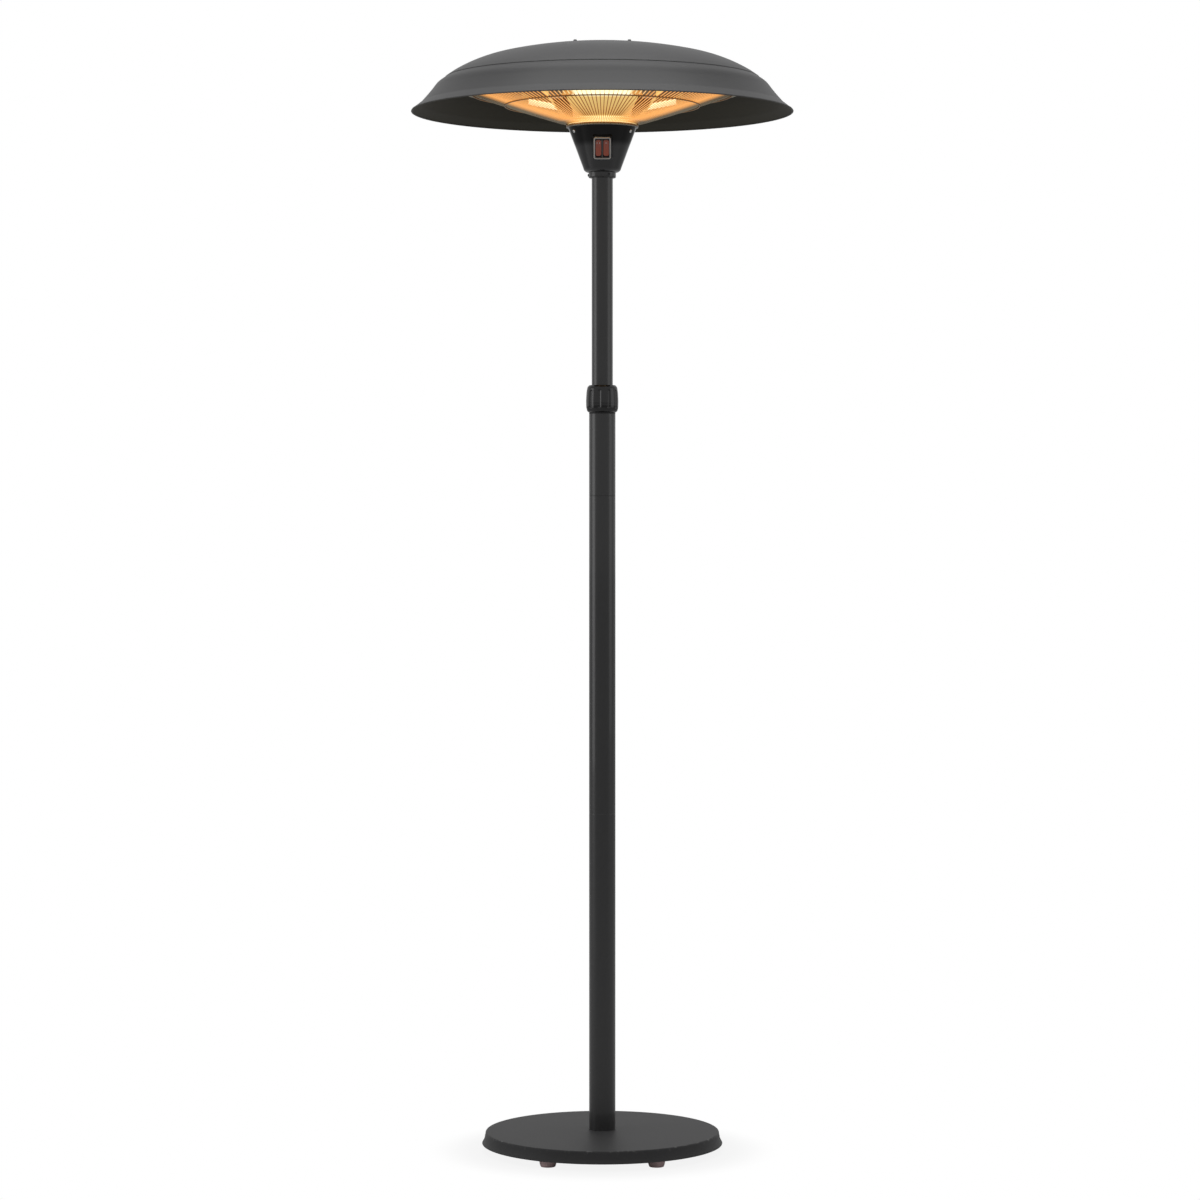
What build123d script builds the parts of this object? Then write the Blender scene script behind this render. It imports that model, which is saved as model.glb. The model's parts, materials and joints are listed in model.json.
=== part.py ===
from build123d import *
import os
from math import atan, cos, degrees, hypot, radians, sin, sqrt

# Free-standing electric patio heater: a round hood with three halogen lamps on a telescopic mast.
# Millimetres, +Z up, the switch faces -Y, and the origin is on the floor under the mast.

os.makedirs("parts", exist_ok=True)

# Fits and clearances
weld_gap = 0.1  # between curved pieces that are fixed to each other
running_gap = 0.06  # radial, where one piece turns or slides in another
screw_gap = 0.2  # radial, round a screw or stud in its hole
seat_gap = 0.05  # under a flat face that is clamped on a curved one
loose_gap = 0.4  # radial, where a sliding piece only has to pass

# Base
foot_count = 6
foot_height = 13.5
foot_top_radius = 17.0
foot_bottom_radius = 14.0
foot_inset = 20.6  # from the base's top edge to a foot's middle
foot_recess_radius = 6.5
foot_recess_depth = 6.0
foot_screw_radius = 2.0
foot_screw_head_radius = 4.5
foot_screw_head_height = 3.0
foot_screw_length = 14.0
base_rim_radius = 229.0
base_flare_width = 4.4
base_wall_draft = 2.6
base_cover_height = 24.9
base_flare_height = 8.2
base_crown_height = 2.0
base_edge_fillet = 3.5
base_cover_sheet = 1.5
base_plate_sheet = 2.0
base_weight_gap = 4.0  # radial, inside the base's top edge
base_weight_thickness = 12.0
base_boss_radius = 45.0
mast_bolt_radius = 6.0
mast_bolt_head_width = 19.0
mast_bolt_head_height = 7.5
mast_bolt_thread_length = 16.0
mast_washer_radius = 18.0
mast_washer_thickness = 2.5

# Mast
lower_tube_radius = 25.0
lower_tube_wall = 1.2
lower_section_length = 604.0
middle_section_length = 602.7
top_section_length = 155.4
tube_edge_chamfer = 0.4
mast_plug_height = 20.0
joint_sleeve_length = 80.0
joint_sleeve_wall = 1.0
upper_tube_radius = 20.0
upper_tube_wall = 1.2
mast_reach = 391.8  # bare upper tube from collar to neck at full height
guide_bush_length = 30.0
end_plug_flange = 3.0
end_plug_depth = 25.0
end_plug_wall = 2.5

# Clamp at the top of the lower mast
clamp_insert_length = 30.0
clamp_flange_height = 2.5
clamp_stem_radius = 22.9
clamp_stem_length = 25.0
nut_height = 51.5
nut_rest_gap = 0.3
nut_low_radius = 25.6
nut_belly_radius = 30.5
nut_shoulder_radius = 29.3
nut_top_radius = 25.0
nut_belly_low = 6.5
nut_belly_high = 17.0
nut_shoulder_height = 41.0
nut_top_wall = 5.0
flute_count = 10
flute_radius = 3.4
flute_depth = 1.6
flute_low = 7.0
flute_high = 43.0
flute_phase = 25.0  # degrees from the front towards +X
collet_flange_radius = 24.2
collet_flange_height = 3.0
collet_low_radius = 23.0
collet_high_radius = 21.6
collet_height = 20.0
collet_slot_count = 4
collet_slot_width = 2.0

# Neck and control housing
neck_radius = 25.9
neck_height = 10.2
neck_sleeve_radius = 23.6
neck_sleeve_height = 23.0
neck_lip = 3.0
neck_screw_count = 3
neck_screw_radius = 2.0
neck_screw_head_radius = 2.6
neck_screw_head_height = 1.6
housing_height = 84.2
housing_low_radius = 33.0
housing_high_radius = 64.5
housing_wall = 2.5
housing_edge_fillet = 4.0
housing_screw_radius = 2.0
housing_screw_head_radius = 3.4
housing_screw_head_height = 1.8
housing_screw_drop = 9.5  # below the top of the housing, measured along the wall
housing_screw_reach = 3.0

# Switch on the front of the housing
switch_drop = 45.0  # from the housing's top to the switch's middle, along the wall
pad_width = 38.6
pad_height = 49.0
pad_rise = 2.5
pad_corner = 5.0
frame_width = 32.3
frame_height = 42.2
frame_depth = 3.0
frame_corner = 4.0
frame_opening_width = 26.0
frame_opening_height = 34.0
switch_width = 29.6
switch_height = 38.0
switch_depth = 22.0
rocker_width = 10.4
rocker_height = 30.0
rocker_pitch = 14.6
rocker_side_gap = 0.4
rocker_end_gap = 1.2
rocker_pivot_depth = 2.5
rocker_tilt = 7.0  # degrees either side of level
rocker_end_rise = 2.2
rocker_middle_rise = 0.4
rocker_skirt = 4.0
rocker_floor_gap = 2.5
rocker_pin_radius = 1.2
rocker_pin_length = 1.1
terminal_width = 6.3
terminal_length = 8.0
terminal_sheet = 0.8

# Cable gland on the back of the housing
gland_drop = 52.0
gland_pad_radius = 14.0
gland_thread_radius = 8.0
gland_hex_width = 20.0
gland_hex_height = 5.0
gland_nut_radius = 9.6
gland_nut_height = 13.0
gland_bore_radius = 4.2
gland_seal_radius = 5.5
gland_inside_length = 12.0
gland_locknut_width = 22.0
gland_locknut_height = 4.0

# Electrics under the hub plate
block_length = 44.0
block_width = 20.0
block_height = 14.0
block_drop = 14.0
block_ways = 3
block_leg_radius = 3.5
block_well_radius = 2.6
tip_switch_x = 34.0
tip_switch_width = 12.0
tip_switch_length = 22.0
tip_switch_height = 26.0
tip_switch_corner = 2.0

# Lamp head
hub_plate_sheet = 2.0
hub_plate_radius = 68.0
hub_skirt_height = 16.0
hub_skirt_sheet = 1.2
hub_cap_radius = 65.5
hub_cap_height = 15.0
hub_cap_sheet = 1.0
post_circle_radius = 59.0
post_radius = 5.0
post_height = 94.2
post_stud_radius = 2.0
spacer_radius = 5.5
spacer_height = 57.7
conduit_radius = 8.0
conduit_wall = 1.0
conduit_above_pan = 5.0
pan_sheet = 0.8
pan_flat_radius = 175.0
pan_radius = 269.0
pan_flange_width = 7.0
pan_drop = 23.0

# Lamps, with their reflectors and holders
lamp_count = 3
lamp_inradius = 127.0
lamp_rise = 49.0  # lamp axis above the hub plate
lamp_length = 165.0
lamp_radius = 5.5
lamp_wall = 0.9
lamp_seal_radius = 3.6
lamp_seal_length = 9.0
filament_length = 129.0
filament_radius = 1.3
filament_lead_radius = 0.5
reflector_sheet = 0.8
reflector_foot_radius = 56.0
reflector_belly_radius = 80.0
reflector_belly_rise = 52.0
reflector_top_radius = 129.0
reflector_foot_flange = 10.0
reflector_top_flange = 10.0
reflector_low_half_width = 51.0
reflector_half_width = 67.0
holder_length = 26.0
holder_width = 18.0
holder_height = 18.0
holder_bore_depth = 9.0
holder_corner = 2.0
lead_margin = 3.0
bracket_width = 14.0
bracket_flange = 12.0
bracket_sheet = 1.5
lead_radius = 1.1
lead_bundle_radius = 4.4
lead_height = 12.0  # run of the leads above the pan
lead_bend_radius = 7.0

# Guard
guard_wire_count = 144
guard_wire = 1.8
guard_inner_ring_wire_radius = 1.5
guard_ring_wire_radius = 1.25
guard_outer_ring_wire_radius = 2.5
guard_ring_inset = 3.0  # from the pan's edge to the outer ring
guard_mid_ring_radius = 184.3
guard_mid_ring_rise = 37.2  # underside of the wires over the hub plate at the middle ring
guard_bend_radius = 125.6
guard_bend_rise = 18.5
guard_high_ring_inset = 22.0  # from the pan's edge
guard_clip_count = 6
guard_clip_width = 12.0
guard_clip_sheet = 1.0
guard_clip_lap = 6.0

# Hood
hood_sheet = 1.2
hood_crown_radius = 900.0
hood_crown_reach = 200.0
hood_rim_radius = 361.4
hood_rim_drop = 128.2
hood_flare_inset = 18.3  # the insets run inwards from the rim
hood_flare_drop = 114.0
hood_belly_inset = 38.6
hood_belly_drop = 90.5
hood_lap_inset = 63.9
hood_lap_drop = 65.5
hood_lap_width = 11.0
hood_crease_inset = 75.4
hood_crease_drop = 57.6
hood_hem_width = 6.0
washer_radius = 4.5
washer_thickness = 0.8
acorn_width = 7.0
acorn_hex_height = 3.2
acorn_dome_height = 2.6

# Heights of the pieces above the floor
plate_z = foot_height
weight_z = plate_z + base_plate_sheet
mast_z = foot_height + base_cover_height
low_joint_z = mast_z + lower_section_length
high_joint_z = low_joint_z + middle_section_length
collar_z = high_joint_z + top_section_length
stem_z = collar_z + clamp_flange_height
stem_top_z = stem_z + clamp_stem_length
nut_z = stem_z + nut_rest_gap
nut_top_z = nut_z + nut_height
neck_z = nut_top_z + mast_reach
housing_z = neck_z + neck_height
hub_z = housing_z + housing_height
hub_top_z = hub_z + hub_plate_sheet
cap_top_z = hub_top_z + hub_cap_height
lamp_z = hub_top_z + lamp_rise
pan_z = hub_top_z + post_height
pan_top_z = pan_z + pan_sheet
pan_rim_z = pan_z - pan_drop
spacer_top_z = pan_top_z + spacer_height

# Radii and angles that follow from the sizes above
base_wall_radius = base_rim_radius - base_flare_width
base_top_radius = base_wall_radius - base_wall_draft
base_weight_radius = base_top_radius - base_weight_gap
foot_circle_radius = base_top_radius - foot_inset
guard_outer_ring_radius = pan_radius - guard_ring_inset
guard_high_ring_radius = pan_radius - guard_high_ring_inset
lower_tube_bore = lower_tube_radius - lower_tube_wall
insert_radius = lower_tube_bore - weld_gap
sleeve_bore = insert_radius - joint_sleeve_wall
bush_radius = sleeve_bore - loose_gap
upper_tube_bore = upper_tube_radius - upper_tube_wall
cone_slope = (housing_high_radius - housing_low_radius) / housing_height
cone_angle = degrees(atan(cone_slope))
front = -90.0
lamp_seat_z = lamp_z + holder_height / 2


def crown_drop(radius, depth=0.0):
    """Fall of the hood's crown below its highest point, at a radius and a depth under the surface."""
    return hood_crown_radius - sqrt((hood_crown_radius - depth) ** 2 - radius**2)


apex_z = spacer_top_z + seat_gap + crown_drop(post_circle_radius + spacer_radius, hood_sheet)
stud_top_z = apex_z - crown_drop(post_circle_radius - washer_radius) + washer_thickness


def cone_radius(z):
    """Outer radius of the control housing at a height."""
    return housing_high_radius - (hub_z - z) * cone_slope


def cone_plane(distance, angle, rise=0.0):
    """Plane on the housing's wall, a distance down from its top, facing out at an angle round the mast."""
    down = distance * cos(radians(cone_angle))
    radius = cone_radius(hub_z - down)
    out = Vector(cos(radians(cone_angle)), 0, -sin(radians(cone_angle))).rotate(Axis.Z, angle)
    across = Vector(0, 1, 0).rotate(Axis.Z, angle)
    foot = Vector(radius, 0, hub_z - down).rotate(Axis.Z, angle)
    return Plane(origin=foot + out * rise, x_dir=across, z_dir=out)


def tube(outer_radius, inner_radius, low, high):
    """Plain ring-shaped piece between two heights, chamfered on its outer ends."""
    with BuildPart() as piece:
        with BuildSketch(Plane.XY.offset(low)):
            Circle(outer_radius)
            Circle(inner_radius, mode=Mode.SUBTRACT)
        extrude(amount=high - low)
        rims = piece.edges().filter_by(GeomType.CIRCLE).sort_by(lambda rim: rim.radius)[-2:]
        chamfer(rims, tube_edge_chamfer)
    return piece


# Base: feet, bottom plate, weight and cover

foot_places = PolarLocations(foot_circle_radius, foot_count, start_angle=front + 30)

with BuildPart() as one_foot:
    with BuildSketch():
        Circle(foot_bottom_radius)
    with BuildSketch(Plane.XY.offset(foot_height)):
        Circle(foot_top_radius)
    loft()
    with BuildSketch():
        Circle(foot_recess_radius)
    extrude(amount=foot_recess_depth, mode=Mode.SUBTRACT)
    with BuildSketch():
        Circle(foot_screw_radius + screw_gap)
    extrude(amount=foot_height, mode=Mode.SUBTRACT)

with BuildPart() as feet:
    with foot_places:
        add(one_foot.part)
feet.part.label = "feet"
export_step(feet.part, "parts/feet.step")

with BuildPart() as one_foot_screw:
    with BuildSketch(Plane.XY.offset(foot_recess_depth - foot_screw_head_height)):
        Circle(foot_screw_head_radius)
    extrude(amount=foot_screw_head_height)
    with BuildSketch(Plane.XY.offset(foot_recess_depth)):
        Circle(foot_screw_radius)
    extrude(amount=foot_screw_length)

with BuildPart() as foot_screws:
    with foot_places:
        add(one_foot_screw.part)
foot_screws.part.label = "foot_screws"
export_step(foot_screws.part, "parts/foot_screws.step")

with BuildPart() as base_plate:
    with BuildSketch(Plane.XY.offset(plate_z)):
        Circle(base_top_radius)
        Circle(mast_bolt_radius + screw_gap, mode=Mode.SUBTRACT)
        with foot_places:
            Circle(foot_screw_radius + screw_gap, mode=Mode.SUBTRACT)
    extrude(amount=base_plate_sheet)
base_plate.part.label = "base_plate"
export_step(base_plate.part, "parts/base_plate.step")

with BuildPart() as base_weight:
    with BuildSketch(Plane.XY.offset(weight_z)):
        Circle(base_weight_radius)
    extrude(amount=base_weight_thickness)
    with BuildSketch(Plane.XY.offset(weight_z)):
        Circle(base_boss_radius)
    extrude(amount=mast_z - base_cover_sheet - weight_z)
    with BuildSketch(Plane.XY.offset(weight_z)):
        Circle(mast_bolt_radius + screw_gap)
    extrude(amount=mast_z - weight_z, mode=Mode.SUBTRACT)
    with BuildSketch(Plane.XY.offset(weight_z)):
        with foot_places:
            Circle(foot_screw_radius + screw_gap)
    extrude(amount=base_weight_thickness, mode=Mode.SUBTRACT)
base_weight.part.label = "base_weight"
export_step(base_weight.part, "parts/base_weight.step")

with BuildPart() as base_cover:
    with BuildSketch(Plane.XZ):
        with BuildLine():
            Polyline(
                (mast_bolt_radius + screw_gap, mast_z),
                (base_boss_radius, mast_z),
                (base_top_radius, mast_z - base_crown_height),
                (base_wall_radius, plate_z + base_flare_height),
                (base_rim_radius, plate_z),
            )
            offset(amount=base_cover_sheet, side=Side.RIGHT, kind=Kind.INTERSECTION)
        make_face()
    revolve(axis=Axis.Z)
    with BuildSketch():
        Circle(base_rim_radius + base_cover_sheet)
    extrude(amount=plate_z, mode=Mode.SUBTRACT)
    top_edges = base_cover.edges().filter_by(GeomType.CIRCLE)
    top_edge = top_edges.filter_by(lambda rim: abs(rim.radius - base_top_radius) < seat_gap)
    fillet(top_edge, base_edge_fillet)
base_cover.part.label = "base_cover"
export_step(base_cover.part, "parts/base_cover.step")

with BuildPart() as mast_washer:
    with BuildSketch(Plane.XY.offset(plate_z - mast_washer_thickness)):
        Circle(mast_washer_radius)
        Circle(mast_bolt_radius + screw_gap, mode=Mode.SUBTRACT)
    extrude(amount=mast_washer_thickness)
mast_washer.part.label = "mast_washer"
export_step(mast_washer.part, "parts/mast_washer.step")

bolt_seat_z = plate_z - mast_washer_thickness
with BuildPart() as mast_bolt:
    with BuildSketch(Plane.XY.offset(bolt_seat_z - mast_bolt_head_height)):
        RegularPolygon(mast_bolt_head_width / 2, 6, major_radius=False)
    extrude(amount=mast_bolt_head_height)
    with BuildSketch(Plane.XY.offset(bolt_seat_z)):
        Circle(mast_bolt_radius)
    extrude(amount=mast_z + mast_bolt_thread_length - bolt_seat_z)
mast_bolt.part.label = "mast_bolt"
export_step(mast_bolt.part, "parts/mast_bolt.step")

with BuildPart() as mast_plug:
    with BuildSketch(Plane.XY.offset(mast_z)):
        Circle(insert_radius)
        Circle(mast_bolt_radius + running_gap, mode=Mode.SUBTRACT)
    extrude(amount=mast_plug_height)
mast_plug.part.label = "mast_plug"
export_step(mast_plug.part, "parts/mast_plug.step")

# Mast: three lower sections joined by sleeves, and the upper tube that slides in them

mast_tube_low = tube(lower_tube_radius, lower_tube_bore, mast_z, low_joint_z)
mast_tube_low.part.label = "mast_tube_low"
export_step(mast_tube_low.part, "parts/mast_tube_low.step")

mast_tube_middle = tube(lower_tube_radius, lower_tube_bore, low_joint_z, high_joint_z)
mast_tube_middle.part.label = "mast_tube_middle"
export_step(mast_tube_middle.part, "parts/mast_tube_middle.step")

mast_tube_top = tube(lower_tube_radius, lower_tube_bore, high_joint_z, collar_z)
mast_tube_top.part.label = "mast_tube_top"
export_step(mast_tube_top.part, "parts/mast_tube_top.step")

half_sleeve = joint_sleeve_length / 2
joint_sleeve_low = tube(insert_radius, sleeve_bore, low_joint_z - half_sleeve, low_joint_z + half_sleeve)
joint_sleeve_low.part.label = "joint_sleeve_low"
export_step(joint_sleeve_low.part, "parts/joint_sleeve_low.step")

joint_sleeve_high = tube(insert_radius, sleeve_bore, high_joint_z - half_sleeve, high_joint_z + half_sleeve)
joint_sleeve_high.part.label = "joint_sleeve_high"
export_step(joint_sleeve_high.part, "parts/joint_sleeve_high.step")

bush_top_z = collar_z - clamp_insert_length - weld_gap
upper_tube_z = bush_top_z - guide_bush_length
upper_tube_top_z = housing_z + neck_sleeve_height - neck_lip - seat_gap

upper_tube = tube(upper_tube_radius, upper_tube_bore, upper_tube_z, upper_tube_top_z)
upper_tube.part.label = "upper_tube"
export_step(upper_tube.part, "parts/upper_tube.step")

guide_bush = tube(bush_radius, upper_tube_radius + running_gap, upper_tube_z, bush_top_z)
guide_bush.part.label = "guide_bush"
export_step(guide_bush.part, "parts/guide_bush.step")

plug_radius = upper_tube_bore - weld_gap
with BuildPart() as tube_end_plug:
    with BuildSketch(Plane.XY.offset(upper_tube_z - end_plug_flange)):
        Circle(bush_radius - loose_gap)
    extrude(amount=end_plug_flange)
    with BuildSketch(Plane.XY.offset(upper_tube_z)):
        Circle(plug_radius)
    extrude(amount=end_plug_depth)
    with BuildSketch(Plane.XY.offset(upper_tube_z - end_plug_flange)):
        Circle(plug_radius - end_plug_wall)
    extrude(amount=end_plug_flange + end_plug_depth, mode=Mode.SUBTRACT)
tube_end_plug.part.label = "tube_end_plug"
export_step(tube_end_plug.part, "parts/tube_end_plug.step")

# Clamp: threaded sleeve, split collet and fluted nut

slide_bore = upper_tube_radius + running_gap
with BuildPart() as clamp_sleeve:
    with BuildSketch(Plane.XZ):
        with BuildLine():
            Polyline(
                (slide_bore, collar_z - clamp_insert_length),
                (insert_radius, collar_z - clamp_insert_length),
                (insert_radius, collar_z),
                (lower_tube_radius, collar_z),
                (lower_tube_radius, stem_z),
                (clamp_stem_radius, stem_z),
                (clamp_stem_radius, stem_top_z),
                (slide_bore, stem_top_z),
                close=True,
            )
        make_face()
    revolve(axis=Axis.Z)
clamp_sleeve.part.label = "clamp_sleeve"
export_step(clamp_sleeve.part, "parts/clamp_sleeve.step")

collet_z = stem_top_z + nut_rest_gap
collet_cone_z = collet_z + collet_flange_height
collet_top_z = collet_z + collet_height
with BuildPart() as collet:
    with BuildSketch(Plane.XZ):
        with BuildLine():
            Polyline(
                (slide_bore, collet_z),
                (collet_flange_radius, collet_z),
                (collet_flange_radius, collet_cone_z),
                (collet_low_radius, collet_cone_z),
                (collet_high_radius, collet_top_z),
                (slide_bore, collet_top_z),
                close=True,
            )
        make_face()
    revolve(axis=Axis.Z)
    with BuildSketch(Plane.XY.offset(collet_cone_z)):
        with PolarLocations(upper_tube_radius, collet_slot_count):
            Rectangle(collet_flange_radius, collet_slot_width)
    extrude(amount=collet_height, mode=Mode.SUBTRACT)
collet.part.label = "collet"
export_step(collet.part, "parts/collet.step")

nut_roof_z = nut_top_z - nut_top_wall
nut_groove_radius = collet_flange_radius + running_gap
with BuildPart() as collar_nut:
    with BuildSketch(Plane.XZ):
        with BuildLine():
            Spline(
                (nut_belly_radius, nut_z + nut_belly_high),
                (nut_shoulder_radius, nut_z + nut_shoulder_height),
                (nut_top_radius, nut_top_z),
                tangents=((0, 1), (-1, 0.35)),
            )
            Polyline(
                (nut_top_radius, nut_top_z),
                (slide_bore + loose_gap, nut_top_z),
                (slide_bore + loose_gap, nut_roof_z),
                (collet_high_radius + weld_gap, collet_top_z + weld_gap),
                (collet_low_radius + weld_gap, collet_cone_z + weld_gap),
                (nut_groove_radius, collet_cone_z + weld_gap),
                (nut_groove_radius, collet_z - weld_gap),
                (clamp_stem_radius + running_gap, collet_z - weld_gap),
                (clamp_stem_radius + running_gap, nut_z),
                (nut_low_radius, nut_z),
            )
            Spline(
                (nut_low_radius, nut_z),
                (nut_belly_radius - 1.2, nut_z + nut_belly_low),
                (nut_belly_radius, nut_z + nut_belly_high),
                tangents=((1, 0.5), (0, 1)),
            )
        make_face()
    revolve(axis=Axis.Z)
    flute_axis_radius = nut_belly_radius + flute_radius - flute_depth
    flute_run = flute_high - flute_low - 2 * flute_radius
    with PolarLocations(flute_axis_radius, flute_count, start_angle=front + flute_phase):
        with Locations((0, 0, nut_z + (flute_low + flute_high) / 2)):
            Cylinder(flute_radius, flute_run, mode=Mode.SUBTRACT)
        with Locations((0, 0, nut_z + flute_low + flute_radius)):
            Sphere(flute_radius, mode=Mode.SUBTRACT)
        with Locations((0, 0, nut_z + flute_high - flute_radius)):
            Sphere(flute_radius, mode=Mode.SUBTRACT)
collar_nut.part.label = "collar_nut"
export_step(collar_nut.part, "parts/collar_nut.step")

# Neck: the ring that grips the upper tube under the housing

neck_screw_z = neck_z + neck_height / 2
neck_places = PolarLocations(0, neck_screw_count, start_angle=front + 30)
radial_plane = Plane(origin=(0, 0, neck_screw_z), x_dir=(0, 1, 0), z_dir=(1, 0, 0))

with BuildPart() as neck_hole:
    with BuildSketch(radial_plane):
        Circle(neck_screw_radius + weld_gap)
    extrude(amount=neck_radius + weld_gap)

with BuildPart() as neck_clamp:
    with BuildSketch(Plane.XZ):
        with BuildLine():
            Polyline(
                (upper_tube_radius + weld_gap, neck_z),
                (neck_radius, neck_z),
                (neck_radius, housing_z),
                (neck_sleeve_radius, housing_z),
                (neck_sleeve_radius, housing_z + neck_sleeve_height),
                (upper_tube_bore - neck_lip, housing_z + neck_sleeve_height),
                (upper_tube_bore - neck_lip, housing_z + neck_sleeve_height - neck_lip),
                (upper_tube_radius + weld_gap, housing_z + neck_sleeve_height - neck_lip),
                close=True,
            )
        make_face()
    revolve(axis=Axis.Z)
    with neck_places:
        add(neck_hole.part, mode=Mode.SUBTRACT)
neck_clamp.part.label = "neck_clamp"
export_step(neck_clamp.part, "parts/neck_clamp.step")

with BuildPart() as one_neck_screw:
    with BuildSketch(radial_plane.offset(upper_tube_radius + weld_gap)):
        Circle(neck_screw_radius)
    extrude(amount=neck_radius - upper_tube_radius)
    with BuildSketch(radial_plane.offset(neck_radius + weld_gap)):
        Circle(neck_screw_head_radius)
    extrude(amount=neck_screw_head_height)

with BuildPart() as neck_screws:
    with neck_places:
        add(one_neck_screw.part)
neck_screws.part.label = "neck_screws"
export_step(neck_screws.part, "parts/neck_screws.step")

# Control housing: a cone-shaped moulding with a flat pad for the switch and one for the cable gland

post_places = PolarLocations(0, lamp_count, start_angle=front + 60)
switch_plane = cone_plane(switch_drop, front, pad_rise)
gland_plane = cone_plane(gland_drop, front + 180, pad_rise)
screw_plane = cone_plane(housing_screw_drop, 0)

with BuildPart() as housing_core:
    with BuildSketch(Plane.XZ):
        with BuildLine():
            Polyline(
                (0, housing_z + housing_wall),
                (cone_radius(housing_z + housing_wall) - housing_wall, housing_z + housing_wall),
                (housing_high_radius - housing_wall, hub_z),
                (0, hub_z),
                close=True,
            )
        make_face()
    revolve(axis=Axis.Z)

with BuildPart() as screw_hole:
    with BuildSketch(screw_plane.offset(-housing_screw_reach - housing_wall)):
        Circle(housing_screw_radius + screw_gap)
    extrude(amount=2 * housing_screw_reach + housing_wall)

with BuildPart() as control_housing:
    with BuildSketch(Plane.XZ):
        with BuildLine():
            Polyline(
                (0, housing_z),
                (housing_low_radius, housing_z),
                (housing_high_radius, hub_z),
                (0, hub_z),
                close=True,
            )
        make_face()
    revolve(axis=Axis.Z)
    low_edges = control_housing.edges().filter_by(GeomType.CIRCLE).sort_by(Axis.Z)
    fillet(low_edges[0], housing_edge_fillet)
    with BuildSketch(switch_plane):
        RectangleRounded(pad_width, pad_height, pad_corner)
    extrude(amount=-switch_depth)
    with BuildSketch(gland_plane):
        Circle(gland_pad_radius)
    extrude(amount=-gland_inside_length)
    add(housing_core.part, mode=Mode.SUBTRACT)
    with BuildSketch(switch_plane):
        Rectangle(switch_width + 2 * screw_gap, switch_height + 2 * screw_gap)
    extrude(amount=-switch_depth, mode=Mode.SUBTRACT)
    with BuildSketch(gland_plane):
        Circle(gland_thread_radius + screw_gap)
    extrude(amount=-gland_inside_length, mode=Mode.SUBTRACT)
    with BuildSketch(Plane.XY.offset(housing_z)):
        Circle(neck_sleeve_radius + weld_gap)
    extrude(amount=housing_wall, mode=Mode.SUBTRACT)
    with post_places:
        add(screw_hole.part, mode=Mode.SUBTRACT)
control_housing.part.label = "control_housing"
export_step(control_housing.part, "parts/control_housing.step")

with BuildPart() as one_housing_screw:
    with BuildSketch(screw_plane.offset(seat_gap)):
        Circle(housing_screw_head_radius)
    extrude(amount=housing_screw_head_height)
    with BuildSketch(screw_plane.offset(seat_gap)):
        Circle(housing_screw_radius)
    extrude(amount=-housing_screw_reach - housing_wall)

with BuildPart() as housing_screws:
    with post_places:
        add(one_housing_screw.part)
housing_screws.part.label = "housing_screws"
export_step(housing_screws.part, "parts/housing_screws.step")

# Switch: frame, body with two pockets, and two rockers on their pins

with BuildPart() as switch_frame:
    with BuildSketch(switch_plane):
        RectangleRounded(frame_width, frame_height, frame_corner)
        Rectangle(frame_opening_width, frame_opening_height, mode=Mode.SUBTRACT)
    extrude(amount=frame_depth)
    facing_out = Axis(switch_plane.origin, switch_plane.z_dir)
    outer_rim = switch_frame.faces().sort_by(facing_out)[-1].outer_wire().edges()
    chamfer(outer_rim, frame_depth / 3)
switch_frame.part.label = "switch_frame"
export_step(switch_frame.part, "parts/switch_frame.step")

pocket_depth = rocker_pivot_depth + rocker_skirt + rocker_floor_gap
pocket_width = rocker_width + 2 * rocker_side_gap
pocket_height = rocker_height + 2 * rocker_end_gap
pin_plane = Plane(
    origin=switch_plane.origin - switch_plane.z_dir * rocker_pivot_depth,
    x_dir=switch_plane.y_dir,
    z_dir=switch_plane.x_dir,
)

with BuildPart() as switch_body:
    with BuildSketch(switch_plane):
        Rectangle(switch_width, switch_height)
    extrude(amount=-switch_depth)
    with BuildSketch(switch_plane):
        with GridLocations(rocker_pitch, 0, 2, 1):
            Rectangle(pocket_width, pocket_height)
    extrude(amount=-pocket_depth, mode=Mode.SUBTRACT)
    for side in (-1, 1):
        with BuildSketch(pin_plane.offset(side * rocker_pitch / 2)):
            Circle(rocker_pin_radius + running_gap)
        extrude(amount=rocker_width / 2 + rocker_pin_length + rocker_side_gap, both=True, mode=Mode.SUBTRACT)
    with BuildSketch(switch_plane.offset(-switch_depth)):
        with GridLocations(rocker_pitch, switch_height / 4, 2, 3):
            Rectangle(terminal_width, terminal_sheet)
    extrude(amount=-terminal_length)
switch_body.part.label = "switch_body"
export_step(switch_body.part, "parts/switch_body.step")


def rocker(side):
    """One rocker, pressed in at the top, turning on its pins about the line of pin_plane."""
    turned = pin_plane.offset(side * rocker_pitch / 2).rotated((-rocker_tilt, 0, 0))
    half = rocker_height / 2
    with BuildPart() as piece:
        with BuildSketch(turned):
            with BuildLine():
                Polyline(
                    (-half, rocker_pivot_depth + rocker_end_rise),
                    (0, rocker_pivot_depth + rocker_middle_rise),
                    (half, rocker_pivot_depth + rocker_end_rise),
                    (half, 0),
                    (half / 2, -rocker_skirt),
                    (-half / 2, -rocker_skirt),
                    (-half, 0),
                    close=True,
                )
            make_face()
        extrude(amount=rocker_width / 2, both=True)
        with BuildSketch(turned):
            Circle(rocker_pin_radius)
        extrude(amount=rocker_width / 2 + rocker_pin_length, both=True)
    return piece


rocker_left = rocker(-1)
rocker_left.part.label = "rocker_left"
export_step(rocker_left.part, "parts/rocker_left.step")

rocker_right = rocker(1)
rocker_right.part.label = "rocker_right"
export_step(rocker_right.part, "parts/rocker_right.step")

# Cable gland: body through the wall, dome nut outside and locknut inside

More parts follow.
